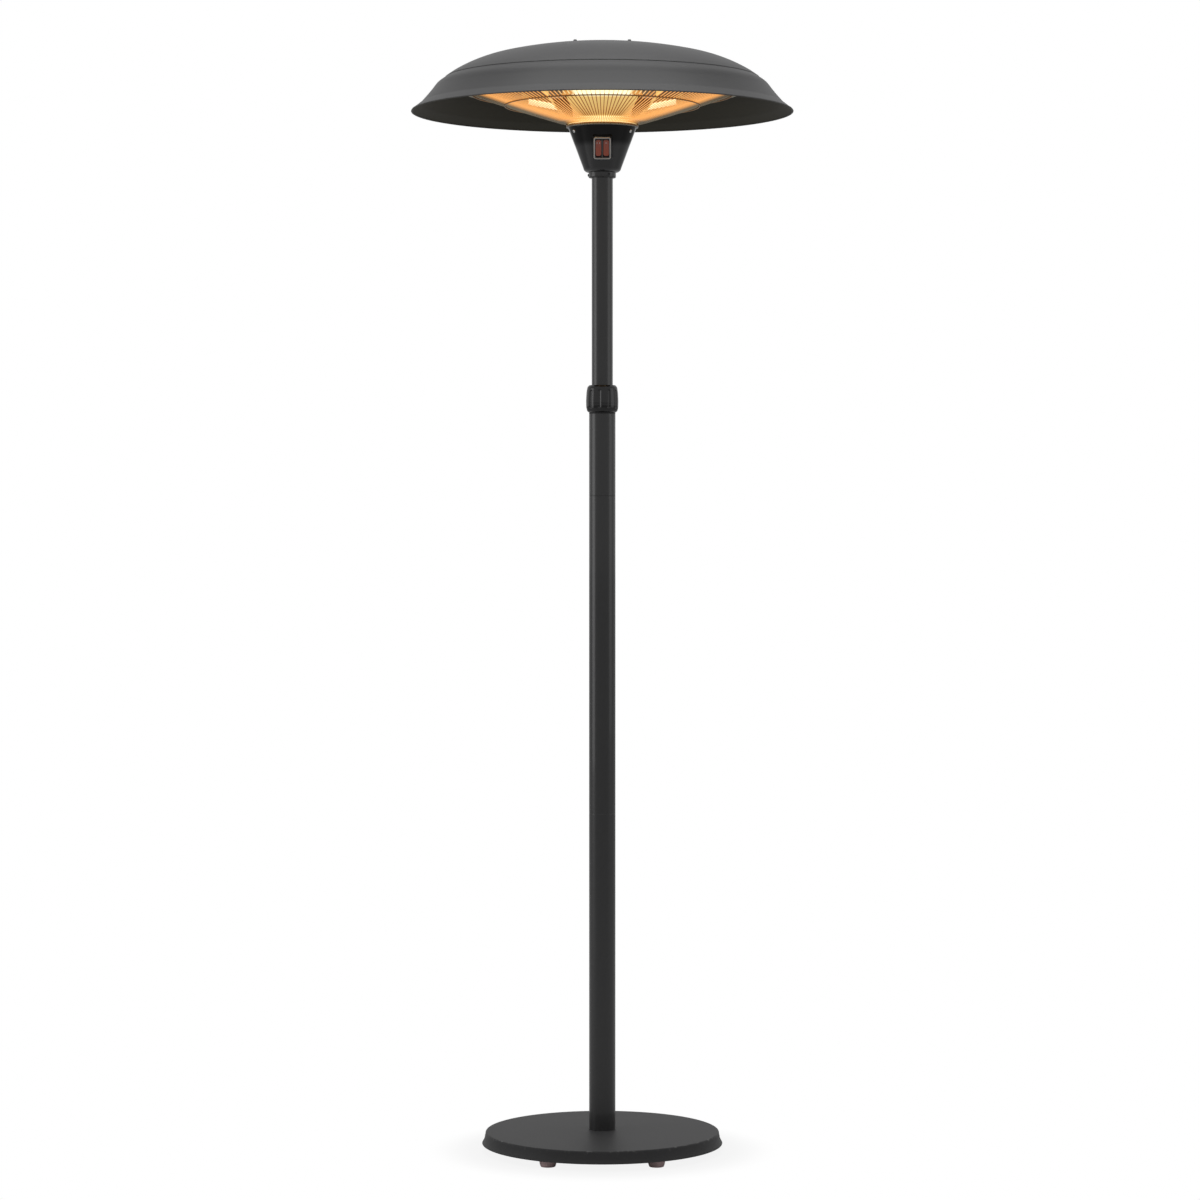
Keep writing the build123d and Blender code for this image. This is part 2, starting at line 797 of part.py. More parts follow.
with BuildPart() as cable_gland:
    with BuildSketch(gland_plane.offset(seat_gap)):
        RegularPolygon(gland_hex_width / 2, 6, major_radius=False)
    extrude(amount=gland_hex_height)
    with BuildSketch(gland_plane.offset(gland_hex_height)):
        Circle(gland_thread_radius)
    extrude(amount=gland_nut_height / 2)
    with BuildSketch(gland_plane.offset(seat_gap)):
        Circle(gland_thread_radius)
    extrude(amount=-gland_inside_length)
    with BuildSketch(gland_plane.offset(gland_hex_height + gland_nut_height)):
        Circle(gland_seal_radius)
    extrude(amount=-gland_hex_height - gland_nut_height - gland_inside_length, mode=Mode.SUBTRACT)
cable_gland.part.label = "cable_gland"
export_step(cable_gland.part, "parts/cable_gland.step")

gland_nut_plane = gland_plane.offset(seat_gap + gland_hex_height)
with BuildPart() as gland_nut:
    with BuildSketch(gland_nut_plane):
        RegularPolygon(gland_nut_radius, 12)
    extrude(amount=gland_nut_height)
    crown = gland_nut.faces().sort_by(Axis(gland_nut_plane.origin, gland_nut_plane.z_dir))[-1]
    chamfer(crown.edges(), gland_nut_radius / 4)
    with BuildSketch(gland_nut_plane):
        Circle(gland_thread_radius + weld_gap)
    extrude(amount=gland_nut_height / 2 + weld_gap, mode=Mode.SUBTRACT)
    with BuildSketch(gland_nut_plane):
        Circle(gland_bore_radius)
    extrude(amount=gland_nut_height, mode=Mode.SUBTRACT)
gland_nut.part.label = "gland_nut"
export_step(gland_nut.part, "parts/gland_nut.step")

# Hub: the plate on top of the housing and the polished cap over it

lamp_places = PolarLocations(0, lamp_count, start_angle=front)
post_spots = PolarLocations(post_circle_radius, lamp_count, start_angle=front + 60)
skirt_top_radius = housing_high_radius - housing_wall / cos(radians(cone_angle)) - weld_gap
skirt_low_radius = skirt_top_radius - hub_skirt_height * cone_slope

with BuildPart() as hub_plate:
    with BuildSketch(Plane.XZ):
        with BuildLine():
            Polyline(
                (conduit_radius - conduit_wall, hub_z),
                (skirt_top_radius - hub_skirt_sheet, hub_z),
                (skirt_low_radius - hub_skirt_sheet, hub_z - hub_skirt_height),
                (skirt_low_radius, hub_z - hub_skirt_height),
                (skirt_top_radius, hub_z),
                (hub_plate_radius, hub_z),
                (hub_plate_radius, hub_top_z),
                (conduit_radius - conduit_wall, hub_top_z),
                close=True,
            )
        make_face()
    revolve(axis=Axis.Z)
    with BuildSketch(Plane.XY.offset(hub_z)):
        with post_spots:
            Circle(post_stud_radius + screw_gap)
    extrude(amount=hub_plate_sheet, mode=Mode.SUBTRACT)
    with post_places:
        add(screw_hole.part, mode=Mode.SUBTRACT)
hub_plate.part.label = "hub_plate"
export_step(hub_plate.part, "parts/hub_plate.step")

with BuildPart() as hub_cap:
    with BuildSketch(Plane.XY.offset(hub_top_z)):
        Circle(hub_cap_radius)
    extrude(amount=hub_cap_height)
    fillet(hub_cap.edges().group_by(Axis.Z)[-1], 2 * hub_cap_sheet)
    offset(amount=-hub_cap_sheet, openings=hub_cap.faces().sort_by(Axis.Z)[0])
    with BuildSketch(Plane.XY.offset(hub_top_z)):
        Circle(conduit_radius + weld_gap)
        with post_spots:
            Circle(post_radius + weld_gap)
    extrude(amount=hub_cap_height, mode=Mode.SUBTRACT)
hub_cap.part.label = "hub_cap"
export_step(hub_cap.part, "parts/hub_cap.step")

with BuildPart() as wire_conduit:
    with BuildSketch(Plane.XY.offset(hub_top_z)):
        Circle(conduit_radius)
        Circle(conduit_radius - conduit_wall, mode=Mode.SUBTRACT)
    extrude(amount=pan_top_z + conduit_above_pan - hub_top_z)
wire_conduit.part.label = "wire_conduit"
export_step(wire_conduit.part, "parts/wire_conduit.step")

# Posts riveted in the hub plate, which carry the pan and the hood, with spacers, washers and acorn nuts

with BuildPart() as head_posts:
    with BuildSketch(Plane.XY.offset(hub_top_z)):
        with post_spots:
            Circle(post_radius)
    extrude(amount=post_height)
    with BuildSketch(Plane.XY.offset(pan_z)):
        with post_spots:
            Circle(post_stud_radius)
    extrude(amount=stud_top_z + acorn_hex_height - pan_z)
    with BuildSketch(Plane.XY.offset(hub_z)):
        with post_spots:
            Circle(post_stud_radius)
    extrude(amount=hub_plate_sheet)
head_posts.part.label = "head_posts"
export_step(head_posts.part, "parts/head_posts.step")

with BuildPart() as post_spacers:
    with BuildSketch(Plane.XY.offset(pan_top_z)):
        with post_spots:
            Circle(spacer_radius)
            Circle(post_stud_radius + screw_gap, mode=Mode.SUBTRACT)
    extrude(amount=spacer_height)
post_spacers.part.label = "post_spacers"
export_step(post_spacers.part, "parts/post_spacers.step")

with BuildPart() as hood_washers:
    with BuildSketch(Plane.XY.offset(stud_top_z - washer_thickness + seat_gap)):
        with post_spots:
            Circle(washer_radius)
            Circle(post_stud_radius + screw_gap, mode=Mode.SUBTRACT)
    extrude(amount=washer_thickness)
hood_washers.part.label = "hood_washers"
export_step(hood_washers.part, "parts/hood_washers.step")

nut_seat_z = stud_top_z + seat_gap
with BuildPart() as one_acorn:
    with BuildSketch(Plane.XY.offset(nut_seat_z)):
        RegularPolygon(acorn_width / 2, 6, major_radius=False)
    extrude(amount=acorn_hex_height)
    with BuildSketch(Plane.XY.offset(nut_seat_z + acorn_hex_height)):
        Circle(acorn_width / 2)
    extrude(amount=acorn_dome_height)
    fillet(one_acorn.edges().group_by(Axis.Z)[-1], acorn_dome_height - weld_gap)
    with BuildSketch(Plane.XY.offset(nut_seat_z)):
        Circle(post_stud_radius + running_gap)
    extrude(amount=acorn_hex_height, mode=Mode.SUBTRACT)

with BuildPart() as hood_nuts:
    with post_spots:
        add(one_acorn.part)
hood_nuts.part.label = "hood_nuts"
export_step(hood_nuts.part, "parts/hood_nuts.step")

# Reflector pan: flat in the middle, curved down to a flange that the guard hangs from

lead_offset = lamp_length / 2 + holder_length - holder_bore_depth - lead_margin
pan_flange_radius = pan_radius - pan_flange_width
with BuildPart() as reflector_pan:
    with BuildSketch(Plane.XZ):
        with BuildLine():
            flat = Line((conduit_radius + weld_gap, pan_top_z), (pan_flat_radius, pan_top_z))
            bowl = TangentArc(flat @ 1, (pan_flange_radius, pan_rim_z + pan_sheet), tangent=flat % 1)
            Line(bowl @ 1, (pan_radius, pan_rim_z + pan_sheet))
            offset(amount=pan_sheet, side=Side.RIGHT)
        make_face()
    revolve(axis=Axis.Z)
    with BuildSketch(Plane.XY.offset(pan_z)):
        with post_spots:
            Circle(post_stud_radius + screw_gap)
        with lamp_places:
            with Locations((lamp_inradius, lead_offset), (lamp_inradius, -lead_offset)):
                Circle(lead_radius + loose_gap)
    extrude(amount=pan_sheet, mode=Mode.SUBTRACT)
reflector_pan.part.label = "reflector_pan"
export_step(reflector_pan.part, "parts/reflector_pan.step")

# Lamps: reflector, holders, brackets, quartz tube, filament and leads, made at +X and turned into place

foot_z = cap_top_z + seat_gap
with BuildPart() as one_reflector:
    with BuildSketch(Plane.XZ):
        with BuildLine():
            foot = Line(
                (reflector_foot_radius - reflector_foot_flange, foot_z), (reflector_foot_radius, foot_z)
            )
            scoop = ThreePointArc(
                foot @ 1,
                (reflector_belly_radius, foot_z + reflector_belly_rise),
                (reflector_top_radius, pan_z - seat_gap - reflector_sheet),
            )
            Line(scoop @ 1, (reflector_top_radius + reflector_top_flange, pan_z - seat_gap - reflector_sheet))
            offset(amount=reflector_sheet, side=Side.LEFT)
        make_face()
    extrude(amount=reflector_half_width, both=True)
    with BuildSketch(Plane.YZ):
        with BuildLine():
            Polyline(
                (-reflector_low_half_width, cap_top_z),
                (reflector_low_half_width, cap_top_z),
                (reflector_half_width, lamp_z),
                (reflector_half_width, pan_z),
                (-reflector_half_width, pan_z),
                (-reflector_half_width, lamp_z),
                close=True,
            )
        make_face()
    extrude(amount=reflector_top_radius + 2 * reflector_top_flange, mode=Mode.INTERSECT)

with BuildPart() as lamp_reflectors:
    with lamp_places:
        add(one_reflector.part)
lamp_reflectors.part.label = "lamp_reflectors"
export_step(lamp_reflectors.part, "parts/lamp_reflectors.step")

lamp_plane = Plane(origin=(lamp_inradius, 0, lamp_z), x_dir=(1, 0, 0), z_dir=(0, 1, 0))
seal_start = lamp_length / 2 - lamp_seal_length
with BuildPart() as one_lamp:
    with BuildSketch(lamp_plane):
        Circle(lamp_radius)
        Circle(lamp_radius - lamp_wall, mode=Mode.SUBTRACT)
    extrude(amount=seal_start, both=True)
    for side in (-1, 1):
        with BuildSketch(lamp_plane.offset(side * (seal_start - lamp_wall))):
            Circle(lamp_radius - lamp_wall)
        extrude(amount=side * lamp_wall)
        with BuildSketch(lamp_plane.offset(side * seal_start)):
            Circle(lamp_seal_radius)
        extrude(amount=side * lamp_seal_length)

with BuildPart() as lamp_tubes:
    with lamp_places:
        add(one_lamp.part)
lamp_tubes.part.label = "lamp_tubes"
export_step(lamp_tubes.part, "parts/lamp_tubes.step")

with BuildPart() as one_filament:
    with BuildSketch(lamp_plane):
        Circle(filament_radius)
    extrude(amount=filament_length / 2, both=True)
    with BuildSketch(lamp_plane):
        Circle(filament_lead_radius)
    extrude(amount=seal_start - lamp_wall - seat_gap, both=True)

with BuildPart() as lamp_filaments:
    with lamp_places:
        add(one_filament.part)
lamp_filaments.part.label = "lamp_filaments"
export_step(lamp_filaments.part, "parts/lamp_filaments.step")

holder_start = lamp_length / 2 - holder_bore_depth
with BuildPart() as one_holder:
    with BuildSketch(lamp_plane.offset(holder_start)):
        RectangleRounded(holder_width, holder_height, holder_corner)
    extrude(amount=holder_length)
    with BuildSketch(lamp_plane.offset(holder_start)):
        Circle(lamp_seal_radius + weld_gap)
    extrude(amount=holder_bore_depth + weld_gap, mode=Mode.SUBTRACT)
    mirror(about=Plane.XZ)

with BuildPart() as lamp_holders:
    with lamp_places:
        add(one_holder.part)
lamp_holders.part.label = "lamp_holders"
export_step(lamp_holders.part, "parts/lamp_holders.step")

bracket_end = lead_offset - lead_radius - loose_gap
bracket_low_z = lamp_seat_z + seat_gap
bracket_high_z = pan_z - seat_gap
with BuildPart() as one_bracket:
    with BuildSketch(Plane.YZ.offset(lamp_inradius)):
        with BuildLine():
            Polyline(
                (holder_start, bracket_low_z),
                (bracket_end, bracket_low_z),
                (bracket_end, bracket_high_z),
                (bracket_end - bracket_flange, bracket_high_z),
            )
            offset(amount=bracket_sheet, side=Side.LEFT, kind=Kind.INTERSECTION)
        make_face()
    extrude(amount=bracket_width / 2, both=True)
    mirror(about=Plane.XZ)

with BuildPart() as lamp_brackets:
    with lamp_places:
        add(one_bracket.part)
lamp_brackets.part.label = "lamp_brackets"
export_step(lamp_brackets.part, "parts/lamp_brackets.step")

lead_radius_out = hypot(lamp_inradius, lead_offset)
lead_angle = degrees(atan(lead_offset / lamp_inradius))
lead_low_z = hub_z - block_drop + seat_gap


def lead(angle):
    """Insulated lead from a holder, over the pan and down the conduit, in the upright plane at an angle."""
    out = Vector(1, 0, 0).rotate(Axis.Z, angle)
    side = Vector(0, -1, 0).rotate(Axis.Z, angle)
    upright = Plane(origin=(0, 0, 0), x_dir=out, z_dir=side)
    over = pan_top_z + lead_height
    with BuildPart() as piece:
        with BuildLine(upright) as route:
            FilletPolyline(
                (lead_radius_out, lamp_seat_z + seat_gap),
                (lead_radius_out, over),
                (lead_bundle_radius, over),
                (lead_bundle_radius, lead_low_z),
                radius=lead_bend_radius,
            )
        with BuildSketch(Plane(origin=route.line @ 0, z_dir=route.line % 0)):
            Circle(lead_radius)
        sweep()
    return piece


with BuildPart() as lamp_leads:
    for lamp in range(lamp_count):
        for hand in (-1, 1):
            add(lead(front + lamp * 360 / lamp_count + hand * lead_angle).part)
lamp_leads.part.label = "lamp_leads"
export_step(lamp_leads.part, "parts/lamp_leads.step")

# Inside the housing: terminal block on two legs, tip-over switch and the gland's locknut

with BuildPart() as terminal_block:
    with BuildSketch(Plane.XY.offset(hub_z - block_drop - block_height)):
        RectangleRounded(block_length, block_width, block_leg_radius / 2)
    extrude(amount=block_height)
    with BuildSketch(Plane.XY.offset(hub_z - block_drop)):
        with GridLocations(block_length - 2 * block_leg_radius, 0, 2, 1):
            Circle(block_leg_radius)
    extrude(amount=block_drop)
    with BuildSketch(Plane.XY.offset(hub_z - block_drop - block_height)):
        with GridLocations(block_length / block_ways, block_width / 2, block_ways, 2):
            Circle(block_well_radius)
    extrude(amount=block_height / 2, mode=Mode.SUBTRACT)
terminal_block.part.label = "terminal_block"
export_step(terminal_block.part, "parts/terminal_block.step")

with BuildPart() as tip_over_switch:
    with BuildSketch(Plane.XY.offset(hub_z)):
        with Locations((tip_switch_x, 0)):
            RectangleRounded(tip_switch_width, tip_switch_length, tip_switch_corner)
    extrude(amount=-tip_switch_height)
    fillet(tip_over_switch.edges().group_by(Axis.Z)[0], tip_switch_corner / 2)
tip_over_switch.part.label = "tip_over_switch"
export_step(tip_over_switch.part, "parts/tip_over_switch.step")

wall_radius = cone_radius(gland_plane.origin.Z) - housing_wall
locknut_reach = gland_locknut_width / sqrt(3)
locknut_sink = pad_rise + housing_wall + wall_radius - sqrt(wall_radius**2 - locknut_reach**2)
with BuildPart() as gland_locknut:
    with BuildSketch(gland_plane.offset(-locknut_sink)):
        RegularPolygon(gland_locknut_width / 2, 6, major_radius=False)
        Circle(gland_thread_radius + weld_gap, mode=Mode.SUBTRACT)
    extrude(amount=-gland_locknut_height)
gland_locknut.part.label = "gland_locknut"
export_step(gland_locknut.part, "parts/gland_locknut.step")

# Guard: radial wires on rings, hung from the pan's flange by clips

inner_ring_radius = hub_cap_radius + weld_gap + guard_inner_ring_wire_radius
outer_ring_z = pan_rim_z - seat_gap - guard_outer_ring_wire_radius
wire_start = (hub_cap_radius + guard_wire / 2, hub_top_z + 2 * guard_inner_ring_wire_radius + 2 * seat_gap)
wire_bend = (guard_bend_radius, hub_top_z + guard_bend_rise)
wire_middle = (guard_mid_ring_radius, hub_top_z + guard_mid_ring_rise)
wire_end = (
    guard_outer_ring_radius - guard_outer_ring_wire_radius - seat_gap,
    outer_ring_z - guard_wire / 2,
)
outer_slope = (wire_end[1] - wire_middle[1]) / (wire_end[0] - wire_middle[0])

with BuildPart() as one_guard_wire:
    with BuildSketch(Plane.XZ):
        with BuildLine():
            Polyline(wire_start, wire_bend, wire_middle, wire_end)
            offset(amount=guard_wire, side=Side.LEFT, kind=Kind.INTERSECTION)
        make_face()
    extrude(amount=guard_wire / 2, both=True)

with BuildPart() as guard_wires:
    with PolarLocations(0, guard_wire_count, start_angle=180 / guard_wire_count):
        add(one_guard_wire.part)
guard_wires.part.label = "guard_wires"
export_step(guard_wires.part, "parts/guard_wires.step")

under_wire = guard_ring_wire_radius / cos(atan(outer_slope)) + seat_gap
high_ring_z = wire_middle[1] + (guard_high_ring_radius - guard_mid_ring_radius) * outer_slope - under_wire
ring_sections = (
    (inner_ring_radius, hub_top_z + seat_gap + guard_inner_ring_wire_radius, guard_inner_ring_wire_radius),
    (guard_mid_ring_radius, wire_middle[1] - under_wire, guard_ring_wire_radius),
    (guard_high_ring_radius, high_ring_z, guard_ring_wire_radius),
    (guard_outer_ring_radius, outer_ring_z, guard_outer_ring_wire_radius),
)
with BuildPart() as guard_rings:
    with BuildSketch(Plane.XZ):
        for radius, height, wire_radius in ring_sections:
            with Locations((radius, height)):
                Circle(wire_radius)
    revolve(axis=Axis.Z)
guard_rings.part.label = "guard_rings"
export_step(guard_rings.part, "parts/guard_rings.step")

clip_high_z = pan_rim_z + pan_sheet + seat_gap
clip_low_z = outer_ring_z - guard_outer_ring_wire_radius - seat_gap
with BuildPart() as one_clip:
    with BuildSketch(Plane.XZ):
        with BuildLine():
            Polyline(
                (pan_radius - guard_clip_lap, clip_high_z),
                (pan_radius + seat_gap, clip_high_z),
                (pan_radius + seat_gap, clip_low_z),
                (pan_radius - guard_clip_lap, clip_low_z),
            )
            offset(amount=guard_clip_sheet, side=Side.LEFT, kind=Kind.INTERSECTION)
        make_face()
    extrude(amount=guard_clip_width / 2, both=True)

with BuildPart() as guard_clips:
    with PolarLocations(0, guard_clip_count, start_angle=front + 30):
        add(one_clip.part)
guard_clips.part.label = "guard_clips"
export_step(guard_clips.part, "parts/guard_clips.step")

# Hood: a spun dome whose edge laps over the top flange of the skirt

crease = Vector(hood_rim_radius - hood_crease_inset, apex_z - hood_crease_drop)
lap = Vector(hood_rim_radius - hood_lap_inset, apex_z - hood_lap_drop)
flare = Vector(hood_rim_radius - hood_flare_inset, apex_z - hood_flare_drop)
rim = Vector(hood_rim_radius, apex_z - hood_rim_drop)
belly = Vector(hood_rim_radius - hood_belly_inset, apex_z - hood_belly_drop)
lap_along = (lap - crease).normalized()
lap_in = lap_along.rotate(Axis.Z, -90)
rim_along = (rim - flare).normalized()
rim_in = rim_along.rotate(Axis.Z, -90)

with BuildPart() as hood_dome:
    with BuildSketch(Plane.XZ):
        with BuildLine():
            crown = ThreePointArc(
                (0, apex_z),
                (hood_crown_reach / 2, apex_z - crown_drop(hood_crown_reach / 2)),
                (hood_crown_reach, apex_z - crown_drop(hood_crown_reach)),
            )
            TangentArc(crown @ 1, crease, tangent=crown % 1)
            Line(crease, lap)
            offset(amount=hood_sheet, side=Side.RIGHT)
        make_face()
    revolve(axis=Axis.Z)
    with BuildSketch(Plane.XY.offset(spacer_top_z)):
        with post_spots:
            Circle(post_stud_radius + screw_gap)
    extrude(amount=apex_z - spacer_top_z, mode=Mode.SUBTRACT)
hood_dome.part.label = "hood_dome"
export_step(hood_dome.part, "parts/hood_dome.step")

flange_end = lap + lap_in * (hood_sheet + weld_gap)
flange_start = flange_end - lap_along * hood_lap_width
hem_start = rim - rim_along * hood_hem_width
hem_depth = 2 * hood_sheet
with BuildPart() as hood_skirt:
    with BuildSketch(Plane.XZ):
        with BuildLine():
            Line(flange_start, flange_end)
            ThreePointArc(flange_end, belly, flare)
            Line(flare, rim)
            offset(amount=hood_sheet, side=Side.RIGHT)
        make_face()
        with BuildLine():
            Polyline(rim, hem_start, hem_start + rim_in * hem_depth, rim + rim_in * hem_depth, close=True)
        make_face()
    revolve(axis=Axis.Z)
hood_skirt.part.label = "hood_skirt"
export_step(hood_skirt.part, "parts/hood_skirt.step")
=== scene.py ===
import json
from math import atan2, cos, pi, radians, sin

import bmesh
import bpy
import numpy as np
from bpy.props import FloatProperty, FloatVectorProperty, IntProperty, PointerProperty
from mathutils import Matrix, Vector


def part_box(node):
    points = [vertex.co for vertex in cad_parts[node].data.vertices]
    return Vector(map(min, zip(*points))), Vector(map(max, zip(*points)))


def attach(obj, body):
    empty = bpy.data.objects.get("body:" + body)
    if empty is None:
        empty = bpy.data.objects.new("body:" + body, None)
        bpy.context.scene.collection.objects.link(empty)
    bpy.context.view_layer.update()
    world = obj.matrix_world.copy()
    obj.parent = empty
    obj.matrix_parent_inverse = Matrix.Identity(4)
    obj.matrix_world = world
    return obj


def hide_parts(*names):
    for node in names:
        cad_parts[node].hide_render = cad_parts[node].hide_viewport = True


bl_info = {
    "name": "Patio heater",
    "version": (1, 0, 0),
    "blender": (4, 5, 0),
    "location": "View3D > Sidebar > Heater",
    "description": "Dresses the CAD frame of an electric patio heater with detailed pieces and finishes",
    "category": "Object",
}

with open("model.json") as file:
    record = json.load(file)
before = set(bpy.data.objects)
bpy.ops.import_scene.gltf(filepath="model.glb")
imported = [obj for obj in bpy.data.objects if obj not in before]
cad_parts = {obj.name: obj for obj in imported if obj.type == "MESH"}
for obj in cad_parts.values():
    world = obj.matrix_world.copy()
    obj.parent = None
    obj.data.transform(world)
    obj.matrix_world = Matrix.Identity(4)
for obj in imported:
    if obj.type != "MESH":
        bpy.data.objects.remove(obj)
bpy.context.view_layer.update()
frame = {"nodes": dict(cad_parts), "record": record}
MM = 0.001
FRONT = -90.0  # direction of the front about the mast, in degrees

# Sizes of the CAD's pieces that several shapes share, in millimetres
HOUSING_TOP = 64.5  # radius
HOUSING_FOOT = 33.0  # radius
HOUSING_HEIGHT = 84.2
CONE = atan2(HOUSING_TOP - HOUSING_FOOT, HOUSING_HEIGHT)  # lean of the housing's wall
PAD_RISE = 2.5  # of the flat pads under the switch and the gland
SCREW_DROP = 9.5  # the drops run down the wall, from the housing's top edge
SWITCH_DROP = 45.0
GLAND_DROP = 52.0
LAMP_COUNT = 3
LAMP_REACH = 127.0  # from the mast's axis to a lamp's
POST_REACH = 59.0  # from the mast's axis to a post's
PAN_SHEET = 0.8
HOOD_SHEET = 1.2
LOWER_TUBE = 25.0  # radius
UPPER_TUBE = 20.0  # radius
TUBE_WALL = 1.2
NECK = 25.9  # radius


def level(node, end):
    """Lowest (0) or highest (1) height of a CAD node, in millimetres."""
    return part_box(node)[end][2] / MM


# Heights above the floor, in millimetres
Z = {
    "base": level("base_cover", 0),
    "mast": level("mast_tube_low", 0),
    "low_joint": level("mast_tube_middle", 0),
    "high_joint": level("mast_tube_top", 0),
    "clamp": level("mast_tube_top", 1),
    "nut": level("collar_nut", 0),
    "nut_top": level("collar_nut", 1),
    "neck": level("neck_clamp", 0),
    "housing": level("control_housing", 0),
    "hub": level("control_housing", 1),
    "hub_top": level("hub_plate", 1),
    "cap": level("hub_cap", 1),
    "lamp": (level("lamp_tubes", 0) + level("lamp_tubes", 1)) / 2,
    "pan": level("reflector_pan", 1) - PAN_SHEET,
    "pan_rim": level("reflector_pan", 0),
    "apex": level("hood_dome", 1),
    "washer": level("hood_washers", 0),
}


# Shapes: every piece is a grid of points worked out as whole arrays, in millimetres


def turn(points, angle):
    """Points turned about the mast: x and y become x cos a - y sin a and x sin a + y cos a."""
    a = radians(angle)
    x, y, z = points[..., 0], points[..., 1], points[..., 2]
    return np.stack([x * cos(a) - y * sin(a), x * sin(a) + y * cos(a), z], axis=-1)


def around(points, count, start):
    """Copies of a grid turned about the mast in equal steps of 360 / count degrees from a start angle."""
    return [turn(points, start + 360.0 * i / count) for i in range(count)]


def at_lamps(parts):
    """Copies of each grid at the three lamps, for grids made at the lamp that stands on the +x side."""
    return [copy for part in parts for copy in around(part, LAMP_COUNT, FRONT)]


def to_plane(points, origin, across, up, out):
    """Points carried from a plane's own x, y, z to the row frame: origin + x across + y up + z out."""
    return np.asarray(origin) + points @ np.array([across, up, out])


def fillets(corners, steps=6):
    """Closed outline with rounded corners.

    Each corner is (x, y, radius). Between its two tangent points, radius / tan(half angle) from the
    corner, the outline is corner + (tangent points - corner) weighted as a quadratic curve.
    """
    c = np.array(corners, dtype=float)
    points, radius = c[:, :2], c[:, 2]
    before = np.roll(points, 1, axis=0) - points
    after = np.roll(points, -1, axis=0) - points
    len_before = np.linalg.norm(before, axis=1)
    len_after = np.linalg.norm(after, axis=1)
    cosine = np.sum(before * after, axis=1) / (len_before * len_after)
    half = np.arccos(np.clip(cosine, -1, 1)) / 2
    reach = np.minimum(radius / np.tan(half), 0.49 * np.minimum(len_before, len_after))
    first = points + before * (reach / len_before)[:, None]
    last = points + after * (reach / len_after)[:, None]
    t = np.linspace(0, 1, steps)[:, None, None]
    curve = (1 - t) ** 2 * first + 2 * t * (1 - t) * points + t**2 * last
    return curve.transpose(1, 0, 2).reshape(-1, 2)


def revolve(loop, turns=96):
    """Loop of (radius, height) carried round the mast: (r cos a, r sin a, z) for a from 0 to a full turn.

    A run longer than 8 mm gets a point 1 mm from each of its ends, so that its shading stays even.
    """
    long_run, hold = 8.0, 1.0
    step = np.roll(loop, -1, axis=0) - loop
    length = np.linalg.norm(step, axis=1)[:, None]
    share = np.where(length > long_run, hold / np.maximum(length, hold), 0.0)
    share[-1] = 0.0
    held = np.stack([loop, loop + step * share, loop + step * (1 - share)], axis=1)
    keep = np.stack([share >= 0, share > 0, share > 0], axis=1)[..., 0]
    loop = held[keep]
    a = np.linspace(0, 2 * pi, turns, endpoint=False)
    r, z = loop[:, 0:1], loop[:, 1:2]
    return np.stack([r * np.cos(a), r * np.sin(a), z + 0 * a], axis=-1)


def ring(radius, height, wire, sides=12, turns=144):
    """Round wire bent to a ring: a circle of the wire's radius carried round the mast."""
    a = np.linspace(0, 2 * pi, sides, endpoint=False)
    return revolve(np.stack([radius + wire * np.cos(a), height + wire * np.sin(a)], axis=-1), turns)


def sheet_loop(path, thickness):
    """Closed section of sheet metal: a path of (radius, height), and the same path moved by the
    thickness along its own normal, with a rounded edge at each end."""
    p = np.asarray(path, dtype=float)
    along = np.gradient(p, axis=0)
    along /= np.linalg.norm(along, axis=1)[:, None]
    normal = np.stack([along[:, 1], -along[:, 0]], axis=-1)
    inner = p + normal * thickness
    middle = thickness / 2
    bend = np.radians([45, 90, 135])[:, None]
    far = p[-1] + normal[-1] * middle + middle * (-normal[-1] * np.cos(bend) + along[-1] * np.sin(bend))
    near = p[0] + normal[0] * middle + middle * (normal[0] * np.cos(bend) - along[0] * np.sin(bend))
    return np.concatenate([p, far, inner[::-1], near])


def smooth_path(points, steps):
    """Curve through points by chord length, with slopes from the neighbours on each side (cubic)."""
    p = np.asarray(points, dtype=float)
    s = np.concatenate([[0], np.cumsum(np.linalg.norm(np.diff(p, axis=0), axis=1))])
    slope = np.gradient(p, s, axis=0)
    at = np.linspace(0, s[-1], steps)
    i = np.clip(np.searchsorted(s, at, side="right") - 1, 0, len(s) - 2)
    h = (s[i + 1] - s[i])[:, None]
    t = (at - s[i])[:, None] / h
    return (
        (2 * t**3 - 3 * t**2 + 1) * p[i]
        + (t**3 - 2 * t**2 + t) * h * slope[i]
        + (3 * t**2 - 2 * t**3) * p[i + 1]
        + (t**3 - t**2) * h * slope[i + 1]
    )


def arc(centre, radius, first, last, steps):
    """Points on a circle: centre + radius (cos a, sin a) from the first to the last angle in degrees."""
    a = np.radians(np.linspace(first, last, steps))
    return np.stack([centre[0] + radius * np.cos(a), centre[1] + radius * np.sin(a)], axis=-1)


def wire(path, radius, sides):
    """Round wire along a path in the upright plane y = 0.

    Point = path + radius (cos a normal + sin a y), with two shrinking rings and a pole at each end.
    """
    p = np.asarray(path, dtype=float)
    along = np.gradient(p, axis=0)
    along /= np.linalg.norm(along, axis=1)[:, None]
    near = p[:1] + along[:1] * radius * 0.3
    far = p[-1:] - along[-1:] * radius * 0.3
    line = np.concatenate([p[:1], p[:1], near, p[1:-1], far, p[-1:], p[-1:]])
    along = np.concatenate([along[:1], along[:1], along, along[-1:], along[-1:]])
    size = np.full(len(line), radius)
    size[[1, -2]] = 0.6 * radius
    size[[0, -1]] = 0.0
    a = np.linspace(0, 2 * pi, sides, endpoint=False)
    nx, nz = -along[:, 1:2], along[:, 0:1]
    x = line[:, 0:1] + size[:, None] * np.cos(a) * nx
    z = line[:, 1:2] + size[:, None] * np.cos(a) * nz
    return np.stack([x, size[:, None] * np.sin(a), z], axis=-1)


